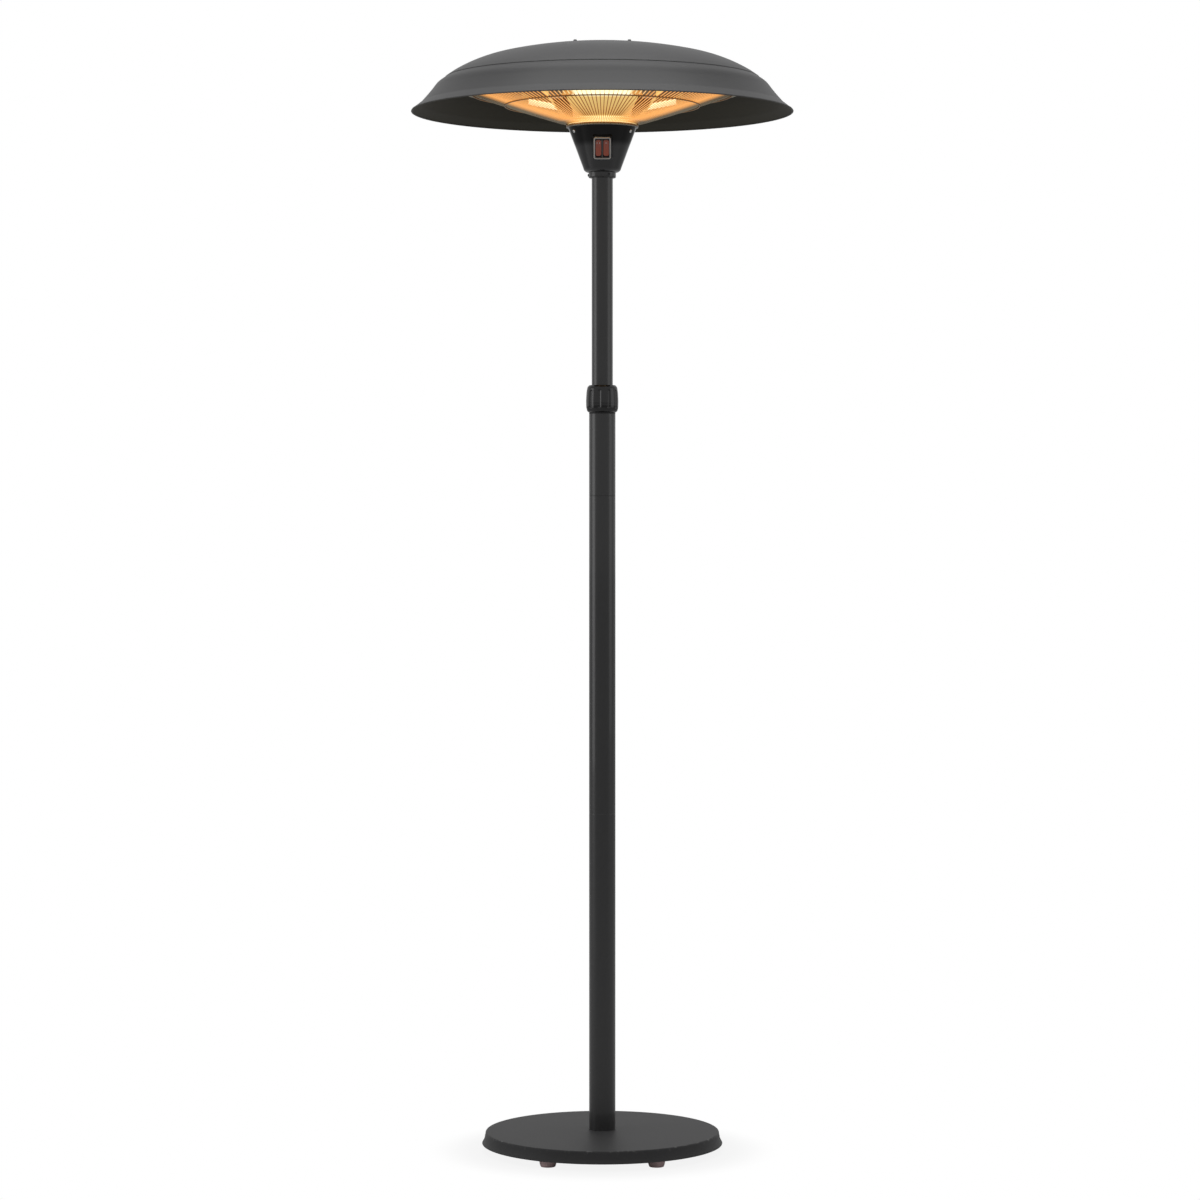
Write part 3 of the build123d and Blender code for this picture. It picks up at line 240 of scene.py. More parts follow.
def oblong(width, height, corner, n=64):
    """Rounded rectangle about the origin, as points at even steps round its edge."""
    w, h = width / 2 - corner, height / 2 - corner
    k = n // 4
    quarter = np.radians(np.linspace(0, 90, k, endpoint=False))
    c, s = corner * np.cos(quarter), corner * np.sin(quarter)
    return np.concatenate(
        [
            np.stack([w + c, h + s], axis=-1),
            np.stack([-w - s, h + c], axis=-1),
            np.stack([-w - c, -h - s], axis=-1),
            np.stack([w + s, -h - c], axis=-1),
        ]
    )


def polygon(across_flats, sides, n):
    """Polygon about the origin: radius = flat distance / cos(angle from the middle of the flat)."""
    a = np.linspace(0, 2 * pi, n, endpoint=False)
    step = 2 * pi / sides
    off = (a + step / 2) % step - step / 2
    r = across_flats / 2 / np.cos(off)
    return np.stack([r * np.cos(a), r * np.sin(a)], axis=-1)


def stack(outlines, heights):
    """Outlines of equal length laid over each other, one at each height."""
    return np.stack(
        [np.concatenate([o, np.full((len(o), 1), h)], axis=-1) for o, h in zip(outlines, heights)]
    )


def screw_head(radius, height, socket, n=36):
    """Button-head screw: rings that follow a dome down from the rim, then a hexagonal socket."""
    a = np.linspace(0, 2 * pi, n, endpoint=False)
    disc = np.stack([np.cos(a), np.sin(a)], axis=-1)
    dome = [(1.0, 0.0), (1.0, 0.25), (0.96, 0.5), (0.86, 0.76), (0.7, 0.93), (0.58, 1.0)]
    rings = [disc * radius * r for r, _ in dome]
    levels = [height * h for _, h in dome]
    hexagon = polygon(socket, 6, n)
    rings += [hexagon, hexagon, hexagon * 0.0]
    levels += [height, height * 0.45, height * 0.4]
    return stack([disc * 0.0] + rings, [0.0] + levels)


def piece(name, grids, body, material, replaces, closed=False, sharp=32):
    """Makes one object from grids of points (rings, points round each ring, 3).

    Each ring is closed, and rings join in order, back to the first where the section is closed. Points
    that meet, such as those of a pole, are merged, and every face is turned outwards.
    """
    vertices, faces, start = [], [], 0
    for grid in grids:
        m, n = grid.shape[:2]
        index = start + np.arange(m * n).reshape(m, n)
        rows = index if not closed else np.concatenate([index, index[:1]])
        right = np.roll(rows, -1, axis=1)
        faces.append(np.stack([rows[:-1], rows[1:], right[1:], right[:-1]], axis=-1).reshape(-1, 4))
        vertices.append(grid.reshape(-1, 3))
        start += m * n
    mesh = bpy.data.meshes.new(name)
    mesh.from_pydata(np.concatenate(vertices) * MM, [], np.concatenate(faces).tolist())
    work = bmesh.new()
    work.from_mesh(mesh)
    bmesh.ops.remove_doubles(work, verts=work.verts, dist=2e-7)
    bmesh.ops.recalc_face_normals(work, faces=work.faces)
    work.to_mesh(mesh)
    work.free()
    mesh.polygons.foreach_set("use_smooth", np.ones(len(mesh.polygons), dtype=bool))
    mesh.set_sharp_from_angle(angle=radians(sharp))
    made = bpy.data.objects.new(name, mesh)
    bpy.context.scene.collection.objects.link(made)
    mesh.materials.append(material)
    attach(made, body)
    if replaces:
        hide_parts(*replaces)
    return made


# Finishes: shader maths written as Python expressions


class Value:
    """A number socket of a material's nodes. Arithmetic on it adds Math nodes."""

    def __init__(self, finish, socket):
        self.finish = finish
        self.socket = socket

    def math(self, operation, *inputs):
        made = self.finish.node("ShaderNodeMath", {"operation": operation}, *inputs)
        return Value(self.finish, made.outputs[0])

    def __add__(self, other):
        return self.math("ADD", self, other)

    def __radd__(self, other):
        return self.math("ADD", other, self)

    def __sub__(self, other):
        return self.math("SUBTRACT", self, other)

    def __rsub__(self, other):
        return self.math("SUBTRACT", other, self)

    def __mul__(self, other):
        return self.math("MULTIPLY", self, other)

    def __rmul__(self, other):
        return self.math("MULTIPLY", other, self)

    def __truediv__(self, other):
        return self.math("DIVIDE", self, other)

    def __pow__(self, other):
        return self.math("POWER", self, other)

    def __abs__(self):
        return self.math("ABSOLUTE", self)

    def sine(self):
        return self.math("SINE", self)

    def root(self):
        return self.math("SQRT", self)

    def least(self, other):
        return self.math("MINIMUM", self, other)

    def most(self, other):
        return self.math("MAXIMUM", self, other)

    def step(self, low, high):
        """0 below low, 1 above high and a smooth ramp between."""
        made = self.finish.node(
            "ShaderNodeMapRange", {"interpolation_type": "SMOOTHSTEP"}, self, low, high, 0.0, 1.0
        )
        return Value(self.finish, made.outputs[0])


class Finish:
    """One material with a Principled shader, and the few calls that build its nodes."""

    def __init__(self, name):
        self.material = bpy.data.materials.new(name)
        self.material.use_nodes = True
        self.tree = self.material.node_tree
        self.shader = self.tree.nodes["Principled BSDF"]

    def node(self, kind, settings, *inputs, **named):
        """Adds a node of a type, makes its settings first, then gives its sockets values or links."""
        made = self.tree.nodes.new(kind)
        for key, value in settings.items():
            setattr(made, key, value)
        for i, value in list(enumerate(inputs)) + list(named.items()):
            socket = made.inputs[i if isinstance(i, int) else i.replace("_", " ")]
            self.join(value, socket)
        return made

    def join(self, value, socket):
        if isinstance(value, Value):
            self.tree.links.new(value.socket, socket)
        elif isinstance(value, bpy.types.NodeSocket):
            self.tree.links.new(value, socket)
        elif value is not None:
            socket.default_value = value

    def place(self, scale=(1.0, 1.0, 1.0)):
        """The Object coordinate in metres, stretched along each axis."""
        where = self.node("ShaderNodeTexCoord", {}).outputs["Object"]
        return self.node("ShaderNodeMapping", {}, Vector=where, Scale=scale).outputs[0]

    def axes(self):
        """Object x, y and z as numbers, in millimetres."""
        where = self.node("ShaderNodeTexCoord", {}).outputs["Object"]
        parts = self.node("ShaderNodeSeparateXYZ", {}, where).outputs
        return [Value(self, part) * (1 / MM) for part in parts]

    def reach(self):
        """Distance from the mast's axis, in millimetres: the root of x squared plus y squared."""
        x, y, _ = self.axes()
        return (x * x + y * y).root()

    def noise(self, scale, detail=3.0, rough=0.55, stretch=(1.0, 1.0, 1.0)):
        made = self.node(
            "ShaderNodeTexNoise", {}, Vector=self.place(stretch), Scale=scale, Detail=detail, Roughness=rough
        )
        return Value(self, made.outputs["Fac"])

    def cells(self, scale):
        made = self.node("ShaderNodeTexVoronoi", {"feature": "F1"}, Vector=self.place(), Scale=scale)
        return Value(self, made.outputs["Distance"])

    def mix(self, factor, first, second):
        """Colour between two colours or colour links."""
        made = self.node("ShaderNodeMix", {"data_type": "RGBA"})
        self.join(factor, made.inputs[0])
        self.join(first if not isinstance(first, tuple) else (*first, 1.0), made.inputs[6])
        self.join(second if not isinstance(second, tuple) else (*second, 1.0), made.inputs[7])
        return made.outputs[2]

    def bump(self, height, distance, strength=1.0):
        """Raises the surface by a height in 0 to 1 times a distance in metres."""
        made = self.node("ShaderNodeBump", {}, Strength=strength, Distance=distance, Height=height)
        self.join(made.outputs[0], self.shader.inputs["Normal"])

    def set(self, **sockets):
        """Values or links for the shader's own sockets, named with _ for each space."""
        for name, value in sockets.items():
            if isinstance(value, tuple) and len(value) == 3:
                value = (*value, 1.0)
            self.join(value, self.shader.inputs[name.replace("_", " ")])
        return self


def shade(color, factor):
    """A colour made lighter or darker."""
    return tuple(min(1.0, c * factor) for c in color)


def coated(name, color, roughness=0.35, grain=900.0, depth=0.00002, coat=0.0):
    """Powder coat: orange-peel bump, a slow drift in tone, and a little fine dust in the roughness."""
    f = Finish(name)
    drift = f.noise(6.0, 2.0)
    dust = f.noise(160.0, 4.0)
    peel = f.noise(grain, 2.0, 0.4)
    tone = drift * 0.5 + dust * 0.5
    f.set(
        Base_Color=f.mix(tone, shade(color, 0.82), shade(color, 1.2)),
        Roughness=roughness - 0.05 + dust * 0.12,
        Coat_Weight=coat,
        Coat_Roughness=0.06,
    )
    f.bump(peel, depth, 0.6)
    return f


def moulded(name, color, roughness=0.12):
    """Glossy moulded plastic: faint flow lines, fine scuffs in the gloss and a slightly wavy skin."""
    f = Finish(name)
    flow = f.noise(14.0, 3.0, 0.5, (1.0, 1.0, 0.3))
    scuff = f.noise(420.0, 5.0, 0.7, (1.0, 1.0, 0.25)).step(0.55, 0.75)
    f.set(
        Base_Color=f.mix(flow, shade(color, 0.85), shade(color, 1.25)),
        Roughness=roughness + scuff * 0.09,
        Specular_IOR_Level=0.5,
    )
    f.bump(f.noise(500.0, 2.0), 0.000008, 0.5)
    return f


def grained(name, color, roughness=0.5, grain=1400.0, depth=0.00004):
    """Matt plastic or rubber with an eroded mould grain."""
    f = Finish(name)
    pits = f.cells(grain)
    worn = f.noise(60.0, 4.0)
    f.set(
        Base_Color=f.mix(worn, shade(color, 0.8), shade(color, 1.25)),
        Roughness=roughness + pits * 0.15,
    )
    f.bump(pits, depth, 0.7)
    return f


def bright(name, color, roughness, stretch=(1.0, 1.0, 1.0)):
    """Bare or plated metal with drawn or turned lines along one direction and faint stains."""
    f = Finish(name)
    lines = f.noise(90.0, 4.0, 0.6, stretch)
    stain = f.noise(25.0, 4.0)
    f.set(
        Base_Color=f.mix(stain, shade(color, 0.88), color),
        Metallic=1.0,
        Roughness=roughness + lines * 0.12 + stain * 0.04,
    )
    f.bump(lines, 0.000006, 0.5)
    return f


def lamp_distance(f):
    """Distance from the nearest of the three lamps, in millimetres, with more added past a lamp's ends.

    The distance to a lamp is the root of (outward reach - lamp reach) squared plus (height - lamp
    height) squared, where the outward reach is x cos a + y sin a.
    """
    x, y, z = f.axes()
    nearest = None
    for k in range(LAMP_COUNT):
        a = radians(FRONT + 360.0 / LAMP_COUNT * k)
        reach = x * cos(a) + y * sin(a)
        far = ((reach - LAMP_REACH) ** 2.0 + (z - Z["lamp"]) ** 2.0).root()
        side = abs(x * -sin(a) + y * cos(a)).step(70.0, 130.0) * 60.0
        total = far + side
        nearest = total if nearest is None else nearest.least(total)
    return nearest


# What a user would change


def color_setting(name, description, default):
    return FloatVectorProperty(name=name, description=description, subtype="COLOR", default=default)


def length_setting(name, description, default):
    return FloatProperty(name=name, description=description, default=default, unit="LENGTH")


class HeaterHood(bpy.types.PropertyGroup):
    outside: color_setting("Outside", "Paint on the outside of the hood", (0.078, 0.078, 0.079))
    # The inside's colour, darker and warmer than the outside's paint, is painted shade with a warm tint of
    # painted lamp light
    inside: color_setting("Inside", "Finish on the inside of the hood", (0.036, 0.033, 0.021))
    hem: length_setting("Hem", "Radius of the rolled rim", 1.3 * MM)


class HeaterGuard(bpy.types.PropertyGroup):
    wires: IntProperty(name="Wires", description="Radial wires in the guard", default=144, min=24, max=240)
    wire_radius: length_setting("Wire", "Radius of a radial wire", 0.85 * MM)
    metal: color_setting("Metal", "Plating of the wires", (0.3, 0.26, 0.2))


class HeaterLamps(bpy.types.PropertyGroup):
    glow: color_setting("Glow", "Light of the tubes", (1.0, 0.93, 0.6))
    strength: FloatProperty(name="Strength", description="How brightly the tubes glow", default=1.3, min=0.0)
    coils: IntProperty(name="Coils", description="Turns of each filament", default=80, min=10, max=160)


class HeaterBody(bpy.types.PropertyGroup):
    mast: color_setting("Mast", "Powder coat of the tubes", (0.022, 0.022, 0.023))
    base: color_setting("Base", "Powder coat of the base", (0.06, 0.06, 0.061))
    moulding: color_setting("Moulding", "Glossy plastic of the housing and collar", (0.008, 0.008, 0.009))
    rocker: color_setting("Rockers", "Plastic of the two rockers", (0.6, 0.15, 0.1))
    flutes: IntProperty(name="Flutes", description="Grooves round the collar", default=10, min=4, max=30)


class HeaterStage(bpy.types.PropertyGroup):
    distance: length_setting("Distance", "From the mast to the camera", 6.6995)
    eye: length_setting("Eye", "Height of the camera", 1.2223)
    lens: FloatProperty(name="Lens", description="Focal length on a 36 mm frame", default=105.9, min=10.0)
    floor: color_setting("Floor", "Colour of the floor", (0.85, 0.85, 0.85))


# Finishes of this heater


def hood_finish(name, color, inside):
    """Spun sheet under satin paint: fine rings about the mast from the spinning tool, and soft dust."""
    f = Finish(name)
    reach = f.reach()
    rings = ((reach * 2.1 + f.noise(5.0) * 4.0).sine() + (reach * 5.3).sine() * 0.5) * 0.33 + 0.5
    drift = f.noise(3.5, 3.0)
    dust = f.noise(300.0, 3.0)
    f.set(
        Base_Color=f.mix(drift * 0.7 + dust * 0.3, shade(color, 0.8), shade(color, 1.2)),
        Roughness=(0.5 if inside else 0.42) + dust * 0.1,
        Metallic=0.0 if inside else 0.08,
        Specular_IOR_Level=0.3,
    )
    f.bump(rings * 0.7 + dust * 0.3, 0.00002, 0.5)
    return f.material


def lit_metal(name, color, near, far, strength, roughness, fade=(12.0, 90.0), one_side=False):
    """Polished sheet round the lamps: the metal, and a painted glow in its emission that stands in for the
    lamps' light it throws back.

    The painted light is warm white next to a lamp and turns to deep orange with the distance from it. A sheet
    lit on one side has that light only where its normal leans away from the mast.
    """
    f = Finish(name)
    close = 1 - lamp_distance(f).step(*fade)
    x, y, _ = f.axes()
    if one_side:
        facing = f.node("ShaderNodeTexCoord", {}).outputs["Normal"]
        across, along, _ = (Value(f, part) for part in f.node("ShaderNodeSeparateXYZ", {}, facing).outputs)
        close = close * (x * across + y * along).step(-4.0, 4.0)
    else:
        # Painted glow toward the pan's rim too, between 200 and 262 mm from the mast, at 0.3 of full
        close = close.most((x * x + y * y).root().step(200.0, 262.0) * 0.3)
    f.set(
        Base_Color=f.mix(f.noise(40.0), shade(color, 0.9), color),
        Metallic=1.0,
        Roughness=roughness + f.noise(120.0) * 0.1,
        Emission_Color=f.mix(close, far, near),
        Emission_Strength=strength,
    )
    f.bump(f.cells(55.0), 0.0004, 0.35)
    return f.material


# Pieces


def hood_profiles():
    """Outer lines of the dome and of the skirt, from the mast outwards, as (radius, height).

    The dome is an arc about the mast's axis, then the arc that leaves it smoothly and ends at the crease:
    its radius is chord squared / (2 chord . normal), with the chord from the first arc's end.
    """
    top = Z["apex"]
    crown_radius = 900.0
    crown_end = radians(12.84)
    crease = np.array([286.0, top - 57.6])
    lap_end = np.array([297.5, top - 65.5])
    under_lap = np.array([-0.6669, -0.6669])
    flange_reach = np.array([-9.1, 6.25])
    flare_start = (343.1, top - 114.0)
    flare_end = (361.1, top - 127.9)
    a = np.linspace(0.0, crown_end, 26)
    crown = np.stack([crown_radius * np.sin(a), top - crown_radius * (1 - np.cos(a))], axis=-1)
    last = crown[-1]
    chord = crease - last
    normal = np.array([-sin(crown_end), -cos(crown_end)])
    radius = chord @ chord / (2 * chord @ normal)
    centre = last + normal * radius
    first = atan2(last[1] - centre[1], last[0] - centre[0])
    second = atan2(crease[1] - centre[1], crease[0] - centre[0])
    b = np.linspace(first, second, 20)[1:]
    shoulder = centre + radius * np.stack([np.cos(b), np.sin(b)], axis=-1)
    dome = np.concatenate([crown, shoulder, np.linspace(crease, lap_end, 5)[1:]])
    edge = lap_end + under_lap
    flange = np.linspace(edge + flange_reach, edge, 5)
    belly = smooth_path(
        [edge, (312.2, top - 77.2), (322.8, top - 90.5), (333.4, top - 103.2), flare_start], 26
    )
    flare = np.linspace(flare_start, flare_end, 9)[1:]
    return dome, np.concatenate([flange, belly[1:], flare])


class HEATER_OT_hood(bpy.types.Operator):
    """Makes the hood: the spun dome, the skirt under its lap and the rolled rim."""

    bl_idname = "heater.hood"
    bl_label = "Hood"

    def execute(self, context):
        look = context.scene.heater_hood
        outside = hood_finish("hood_outside", tuple(look.outside), False)
        inside = hood_finish("hood_inside_painted_shade", tuple(look.inside), True)
        dome, skirt = hood_profiles()
        for name, node, outline in (
            ("hood_dome_spun", "hood_dome", dome),
            ("hood_skirt_spun", "hood_skirt", skirt),
        ):
            shell = revolve(sheet_loop(outline, HOOD_SHEET), 240)
            made = piece(name, [shell], "head", outside, [node], closed=True)
            made.data.materials.append(inside)
            facing = np.zeros(len(made.data.polygons) * 3)
            made.data.polygons.foreach_get("normal", facing)
            # Faces that look down take the inside material: its darker, warmer colour is painted shade and
            # painted lamp light
            below = (facing.reshape(-1, 3)[:, 2] < -0.05).astype(np.int32)
            made.data.polygons.foreach_set("material_index", below)
        hem = look.hem / MM
        rim = revolve(arc((359.6, skirt[-1][1] + 0.1), hem, 0, 345, 14), 240)
        piece("hood_rim_bead", [rim], "head", outside, (), closed=True)
        # A thin near-black ring under the dome's lap edge stands in for the shadow in the gap there: painted
        # shadow.
        crease = revolve(arc((297.3, Z["apex"] - 66.6), 0.7, 0, 330, 10), 240)
        seal = coated("lap_shadow_paint", (0.02, 0.02, 0.02), 0.5).material
        piece("hood_lap_shadow_ring", [crease], "head", seal, (), closed=True)
        return {"FINISHED"}


class HEATER_OT_hood_fixings(bpy.types.Operator):
    """Makes the cap nuts and washers on the hood, and the posts and spacers that carry it."""

    bl_idname = "heater.hood_fixings"
    bl_label = "Hood fixings"

    def execute(self, context):
        plated = bright("nut_plating", (0.11, 0.11, 0.11), 0.2, (1.0, 1.0, 6.0)).material
        zinc = bright("zinc_plating", (0.2, 0.2, 0.21), 0.3).material
        n = 36
        circle = polygon(2.0, 360, n)
        hexagon = polygon(7.0, 6, n)
        low = Z["washer"] + 0.85
        dome = [(3.45, 3.2), (3.4, 3.9), (3.1, 4.7), (2.5, 5.35), (1.6, 5.7), (0.0, 5.8)]
        nut = stack(
            [circle * 0.0, hexagon * 0.86, hexagon, hexagon, hexagon * 0.93] + [circle * r for r, _ in dome],
            [0.0, 0.0, 0.4, 2.8, 3.2] + [h for _, h in dome],
        )
        nuts = around(nut + np.array([POST_REACH, 0.0, low]), 3, FRONT + 60)
        piece("hood_cap_nuts", nuts, "head", plated, ["hood_nuts"], sharp=24)
        under, over = Z["washer"], Z["washer"] + 0.8
        washer = fillets([(2.2, under, 0.1), (4.5, under, 0.25), (4.5, over, 0.25), (2.2, over, 0.1)], 4)
        washers = around(revolve(washer, 48) + np.array([POST_REACH, 0.0, 0.0]), 3, FRONT + 60)
        piece("hood_cap_washers", washers, "head", zinc, ["hood_washers"], closed=True)
        return {"FINISHED"}


class HEATER_OT_reflectors(bpy.types.Operator):
    """Makes the polished pan over the lamps, the scoop behind each lamp and the cap in the middle."""

    bl_idname = "heater.reflectors"
    bl_label = "Reflectors"

    def execute(self, context):
        pan_z = Z["pan"]
        # The pan's metal is coloured dark brown, far darker and warmer than polished aluminium: painted
        # shade; its emission holds painted lamp light
        panel = lit_metal(
            "lit_pan", (0.05, 0.03, 0.016), (0.9, 0.4, 0.08), (0.05, 0.014, 0.003), 0.7, 0.3, (4.0, 24.0)
        )
        pan_top, rim_top = pan_z + PAN_SHEET, Z["pan_rim"] + PAN_SHEET
        flat = np.linspace([8.2, pan_top], [175.0, pan_top], 30)
        t = np.linspace(0, 1, 20)[1:, None]
        bowl = flat[-1] + np.concatenate([87.0 * t, -23.0 * t**2], axis=1)
        rim = np.linspace([262.0, rim_top], [268.9, rim_top], 4)[1:]
        pan = revolve(sheet_loop(np.concatenate([flat, bowl, rim]), PAN_SHEET), 180)
        piece(
            "reflector_pan_spun", [pan], "head", panel, ["reflector_pan"], closed=True
        )
        # The scoops' metal is tinted warm and darker than bare aluminium, as painted lamp light and painted
        # shade; their emission is painted lamp light
        mirror = lit_metal(
            "lit_reflector", (0.36, 0.27, 0.14), (1.0, 0.72, 0.24), (0.1, 0.03, 0.006), 0.95, 0.2,
            fade=(16.0, 120.0), one_side=True,
        )
        foot_z = Z["cap"] + 0.05
        low = np.linspace([46.0, foot_z + 0.8], [55.0, foot_z + 0.8], 5)
        top = np.linspace([130.0, pan_z - 0.05], [139.0, pan_z - 0.05], 4)
        rising = [(56.5, 1.0), (64.0, 20.0), (78.0, 50.0), (100.0, 69.0)]
        scoop = smooth_path([(r, foot_z + h) for r, h in rising] + [(129.0, pan_z - 0.25)], 34)
        back = sheet_loop(np.concatenate([low, scoop, top]), PAN_SHEET)
        rise = np.clip((back[:, 1] - Z["cap"]) / (Z["lamp"] - Z["cap"]), 0, 1)
        half = 51.0 + 16.0 * rise  # half the scoop's width, which grows up to the lamp
        u = np.linspace(-1, 1, 29)
        ribs = 0.35 * np.cos(u * pi * 7) * (np.abs(u) < 0.98)
        swell = np.clip(np.sin(pi * np.clip((back[:, 1] - Z["cap"] - 4) / 60, 0, 1)), 0, 1)
        x = back[:, 0:1] + ribs * swell[:, None]
        y = half[:, None] * u
        z = back[:, 1:2] + 0 * u
        grid = np.stack([x, y, z], axis=-1).transpose(1, 0, 2)
        centre = grid.mean(axis=1, keepdims=True)
        grid = np.concatenate([centre[:1] + 0 * grid[:1], grid, centre[-1:] + 0 * grid[-1:]])
        scoops = at_lamps([grid])
        piece("lamp_reflector_scoops", scoops, "head", mirror, ["lamp_reflectors"])
        hub_top, cap = Z["hub_top"], Z["cap"]
        falling = [(0.0, 0.0), (58.0, 0.0), (61.5, 0.3), (63.6, 1.1), (65.0, 2.6), (65.5, 4.6)]
        edge = [(65.5, 4.6), (65.35, 0.1), (64.6, 0.1), (64.5, 4.0)]
        outside = [(r, cap - drop) for r, drop in falling] + [(r, hub_top + h) for r, h in edge]
        lid = revolve(np.array(outside + [(64.0, cap - 4.0), (58.0, cap - 1.1), (0.0, cap - 1.1)]), 144)
        # The hub cap's metal is tinted warm and its emission glows warm white all over, near a lamp or not:
        # painted lamp light
        shine = lit_metal("lit_hub", (0.5, 0.42, 0.26), (1.0, 0.92, 0.5), (1.0, 0.86, 0.42), 1.0, 0.16)
        piece("hub_cap_spun", [lid], "head", shine, ["hub_cap"])
        return {"FINISHED"}


class HEATER_OT_lamps(bpy.types.Operator):
    """Makes the three lamps: quartz tube with pinched ends, coiled filament and ribbed holders."""

    bl_idname = "heater.lamps"
    bl_label = "Lamps"

    def execute(self, context):
        look = context.scene.heater_lamps
        quartz = Finish("glowing_quartz")
        seal_end = quartz.reach().step(140.5, 144.5)
        quartz.set(
            Base_Color=(0.35, 0.26, 0.14),
            Roughness=0.05 + quartz.noise(30.0) * 0.1,
            Emission_Color=quartz.mix(seal_end, tuple(look.glow), (0.5, 0.22, 0.05)),
            Emission_Strength=look.strength,
        )
        hot = Finish("hot_filament")
        hot.set(
            Base_Color=(1.0, 0.8, 0.5),
            Roughness=0.4 + hot.noise(800.0) * 0.2,
            Emission_Color=(1.0, 0.9, 0.62),
            Emission_Strength=4.0,
        )
        ceramic = grained("holder_ceramic", (0.72, 0.64, 0.5), 0.55, 900.0, 0.00002).material
        centre = (LAMP_REACH, 0.0, Z["lamp"])
        lie = ((0.0, 0.0, 1.0), (1.0, 0.0, 0.0), (0.0, 1.0, 0.0))
        half = 73.5
        tip = np.array([(0.0, half), (3.6, half), (4.9, half - 1.2)])
        straight = np.linspace([5.5, 3.4 - half], [5.5, half - 3.4], 24)
        line = np.concatenate([tip * (1.0, -1.0), straight, tip[::-1]])
        glass = [to_plane(revolve(line, 28), centre, *lie)]
        pinch = [(0.0, 73.0), (3.5, 73.2), (3.6, 75.0), (3.0, 77.0), (3.5, 79.0), (3.5, 81.8), (2.6, 82.4)]
        for side in (-1, 1):
            seal = revolve(np.array(pinch + [(0.0, 82.4)]) * np.array([1.0, side]), 24)
            glass.append(to_plane(seal * np.array([1.0, 0.82, 1.0]), centre, *lie))
        piece("lamp_quartz", at_lamps(glass), "head", quartz.material, ["lamp_tubes"])
        turns = look.coils
        s = np.linspace(0, 1, turns * 10)
        angle = 2 * pi * turns * s
        coil_radius, filament = 1.15, 129.0
        core = np.stack(
            [coil_radius * np.cos(angle), coil_radius * np.sin(angle), filament * (s - 0.5)], axis=-1
        )
        tangent = np.gradient(core, axis=0)
        tangent /= np.linalg.norm(tangent, axis=1)[:, None]
        out = np.stack([np.cos(angle), np.sin(angle), 0 * s], axis=-1)
        across = np.cross(tangent, out)
        a = np.linspace(0, 2 * pi, 5, endpoint=False)
        size = np.full(len(s), 0.15)
        size[[0, -1]] = 0.0
        round_wire = np.cos(a)[:, None] * out[:, None] + np.sin(a)[:, None] * across[:, None]
        coil = core[:, None] + size[:, None, None] * round_wire
        tail = np.array([(0, 64.0), (0.45, 64.2), (0.45, 72.3), (0, 72.4)])
        tails = [revolve(tail * (1.0, end), 8) for end in (-1.0, 1.0)]
        coils = at_lamps([to_plane(part, centre, *lie) for part in [coil] + tails])
        piece("lamp_filament_coils", coils, "head", hot.material, ["lamp_filaments"])
        blocks = []
        for side in (-1, 1):
            base = oblong(18.0, 18.0, 2.6, 48)
            scale = [0.0, 0.9, 1.0, 1.0, 0.93, 0.93, 1.0, 1.0, 0.93, 0.93, 1.0, 1.0, 0.9, 0.0]
            at = [73.5, 73.5, 74.4, 79.0, 79.6, 82.0, 82.6, 88.0, 88.6, 91.0, 91.6, 98.6, 99.5, 99.5]
            block = stack([base * k for k in scale], [side * h for h in at])
            blocks.append(to_plane(block, centre, *lie))
        piece("lamp_holder_blocks", at_lamps(blocks), "head", ceramic, ["lamp_holders"], sharp=40)
        return {"FINISHED"}


